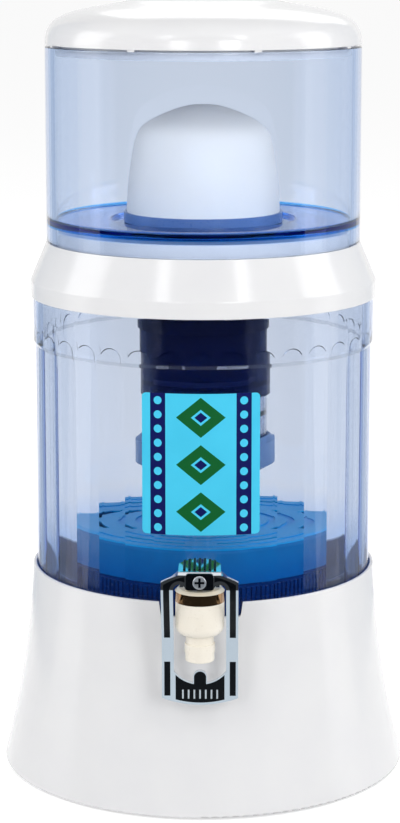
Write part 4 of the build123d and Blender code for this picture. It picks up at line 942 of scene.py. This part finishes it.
def card(name, first, last, profile, tone, strength):
    """A band of card turned from one bearing to another, in degrees from the front."""
    finish, tree, links = blank(name)
    shade = tree.new("ShaderNodeEmission")
    shade.inputs["Color"].default_value = tone
    shade.inputs["Strength"].default_value = strength
    path = tree.new("ShaderNodeLightPath")
    mix = tree.new("ShaderNodeMixShader")
    links.new(
        maths(tree, links, "GREATER_THAN", path.outputs["Glossy Depth"], 0.5), mix.inputs[0]
    )
    links.new(tree.new("ShaderNodeBsdfTransparent").outputs[0], mix.inputs[1])
    links.new(shade.outputs[0], mix.inputs[2])
    out = tree.new("ShaderNodeOutputMaterial")
    links.new(mix.outputs[0], out.inputs["Surface"])
    points = []
    for step in range(CARD_STEPS + 1):
        bearing = radians(first + (last - first) * step / CARD_STEPS)
        points += [(r * sin(bearing), -r * cos(bearing), z) for r, z in profile]
    rows = len(profile)
    faces = [
        (i * rows + j, (i + 1) * rows + j, (i + 1) * rows + j + 1, i * rows + j + 1)
        for i in range(CARD_STEPS)
        for j in range(rows - 1)
    ]
    piece = stage_piece(name, points, faces, finish)
    piece.visible_camera = False
    piece.visible_diffuse = False
    piece.visible_shadow = False


card("card_front", -78, 78, CARD_PROFILE, (0.9, 0.95, 1.0, 1.0), 0.05)
card("card_apron", -60, 60, APRON_PROFILE, (0.85, 0.94, 1.0, 1.0), 0.8)
card("card_right", 100, 150, CARD_PROFILE, (0.84, 0.91, 1.0, 1.0), 0.84)
card("card_left", -150, -100, CARD_PROFILE, (0.8, 0.89, 1.0, 1.0), 0.76)


# ---------------------------------------------------------------- lamps

LAMPS = (
    # name, place, height it aims at on the axis, width, height, watts
    ("strip_right", (0.75, -2.1, 0.92), 0.25, 0.5, 0.8, 11.5),
    ("strip_left", (-0.6, -2.1, 0.92), 0.25, 0.5, 0.8, 7.0),
    ("glint_right", (1.1, -1.9, 1.95), 0.3, 0.4, 0.8, 5.2),
    ("glint_left", (-1.05, -1.9, 1.95), 0.3, 0.4, 0.8, 4.8),
    ("side_right", (2.4, 0.0, 1.2), 0.25, 1.3, 1.6, 18.0),
    ("side_left", (-2.4, 0.0, 1.2), 0.25, 1.3, 1.6, 17.0),
    ("back", (0.3, 1.7, 1.5), 0.2, 1.4, 0.8, 6.0),
)
for name, place, aim, width, height, power in LAMPS:
    lamp = bpy.data.lights.new(name, "AREA")
    lamp.shape = "RECTANGLE"
    lamp.size = width
    lamp.size_y = height
    lamp.energy = power
    softbox = add(name, lamp)
    softbox.location = place
    softbox.rotation_mode = "QUATERNION"
    softbox.rotation_quaternion = (Vector((0, 0, aim)) - Vector(place)).to_track_quat("-Z", "Y")


# ---------------------------------------------------------------- camera and render

CAMERA_REACH = 1.4342   # from the object's axis
CAMERA_HEIGHT = 0.4993
CAMERA_PITCH = 0.180    # downwards, in radians
CAMERA_BEARING = radians(0.8)
FOCAL_PIXELS = 2424.6
SHIFT_PIXELS = (-3.3, -40.0)
LONG_SIDE = 823.0       # of the photograph, in pixels
SENSOR = 36.0
BOUNCES = 32
GLOSSY_BOUNCES = 16

camera_data = bpy.data.cameras.new("camera")
camera_data.sensor_width = SENSOR
camera_data.lens = FOCAL_PIXELS / LONG_SIDE * SENSOR
camera_data.shift_x = SHIFT_PIXELS[0] / LONG_SIDE
camera_data.shift_y = SHIFT_PIXELS[1] / LONG_SIDE
camera = add("camera", camera_data)
camera.location = (
    CAMERA_REACH * sin(CAMERA_BEARING), -CAMERA_REACH * cos(CAMERA_BEARING), CAMERA_HEIGHT
)
camera.rotation_mode = "QUATERNION"
camera.rotation_quaternion = (
    Quaternion((0, 0, 1), CAMERA_BEARING) @ Quaternion((1, 0, 0), pi / 2 - CAMERA_PITCH)
)
bpy.context.scene.camera = camera
cycles = bpy.context.scene.cycles
cycles.max_bounces = BOUNCES
cycles.transmission_bounces = BOUNCES
cycles.glossy_bounces = GLOSSY_BOUNCES
cycles.transparent_max_bounces = BOUNCES
bpy.context.scene.view_settings.view_transform = "Standard"
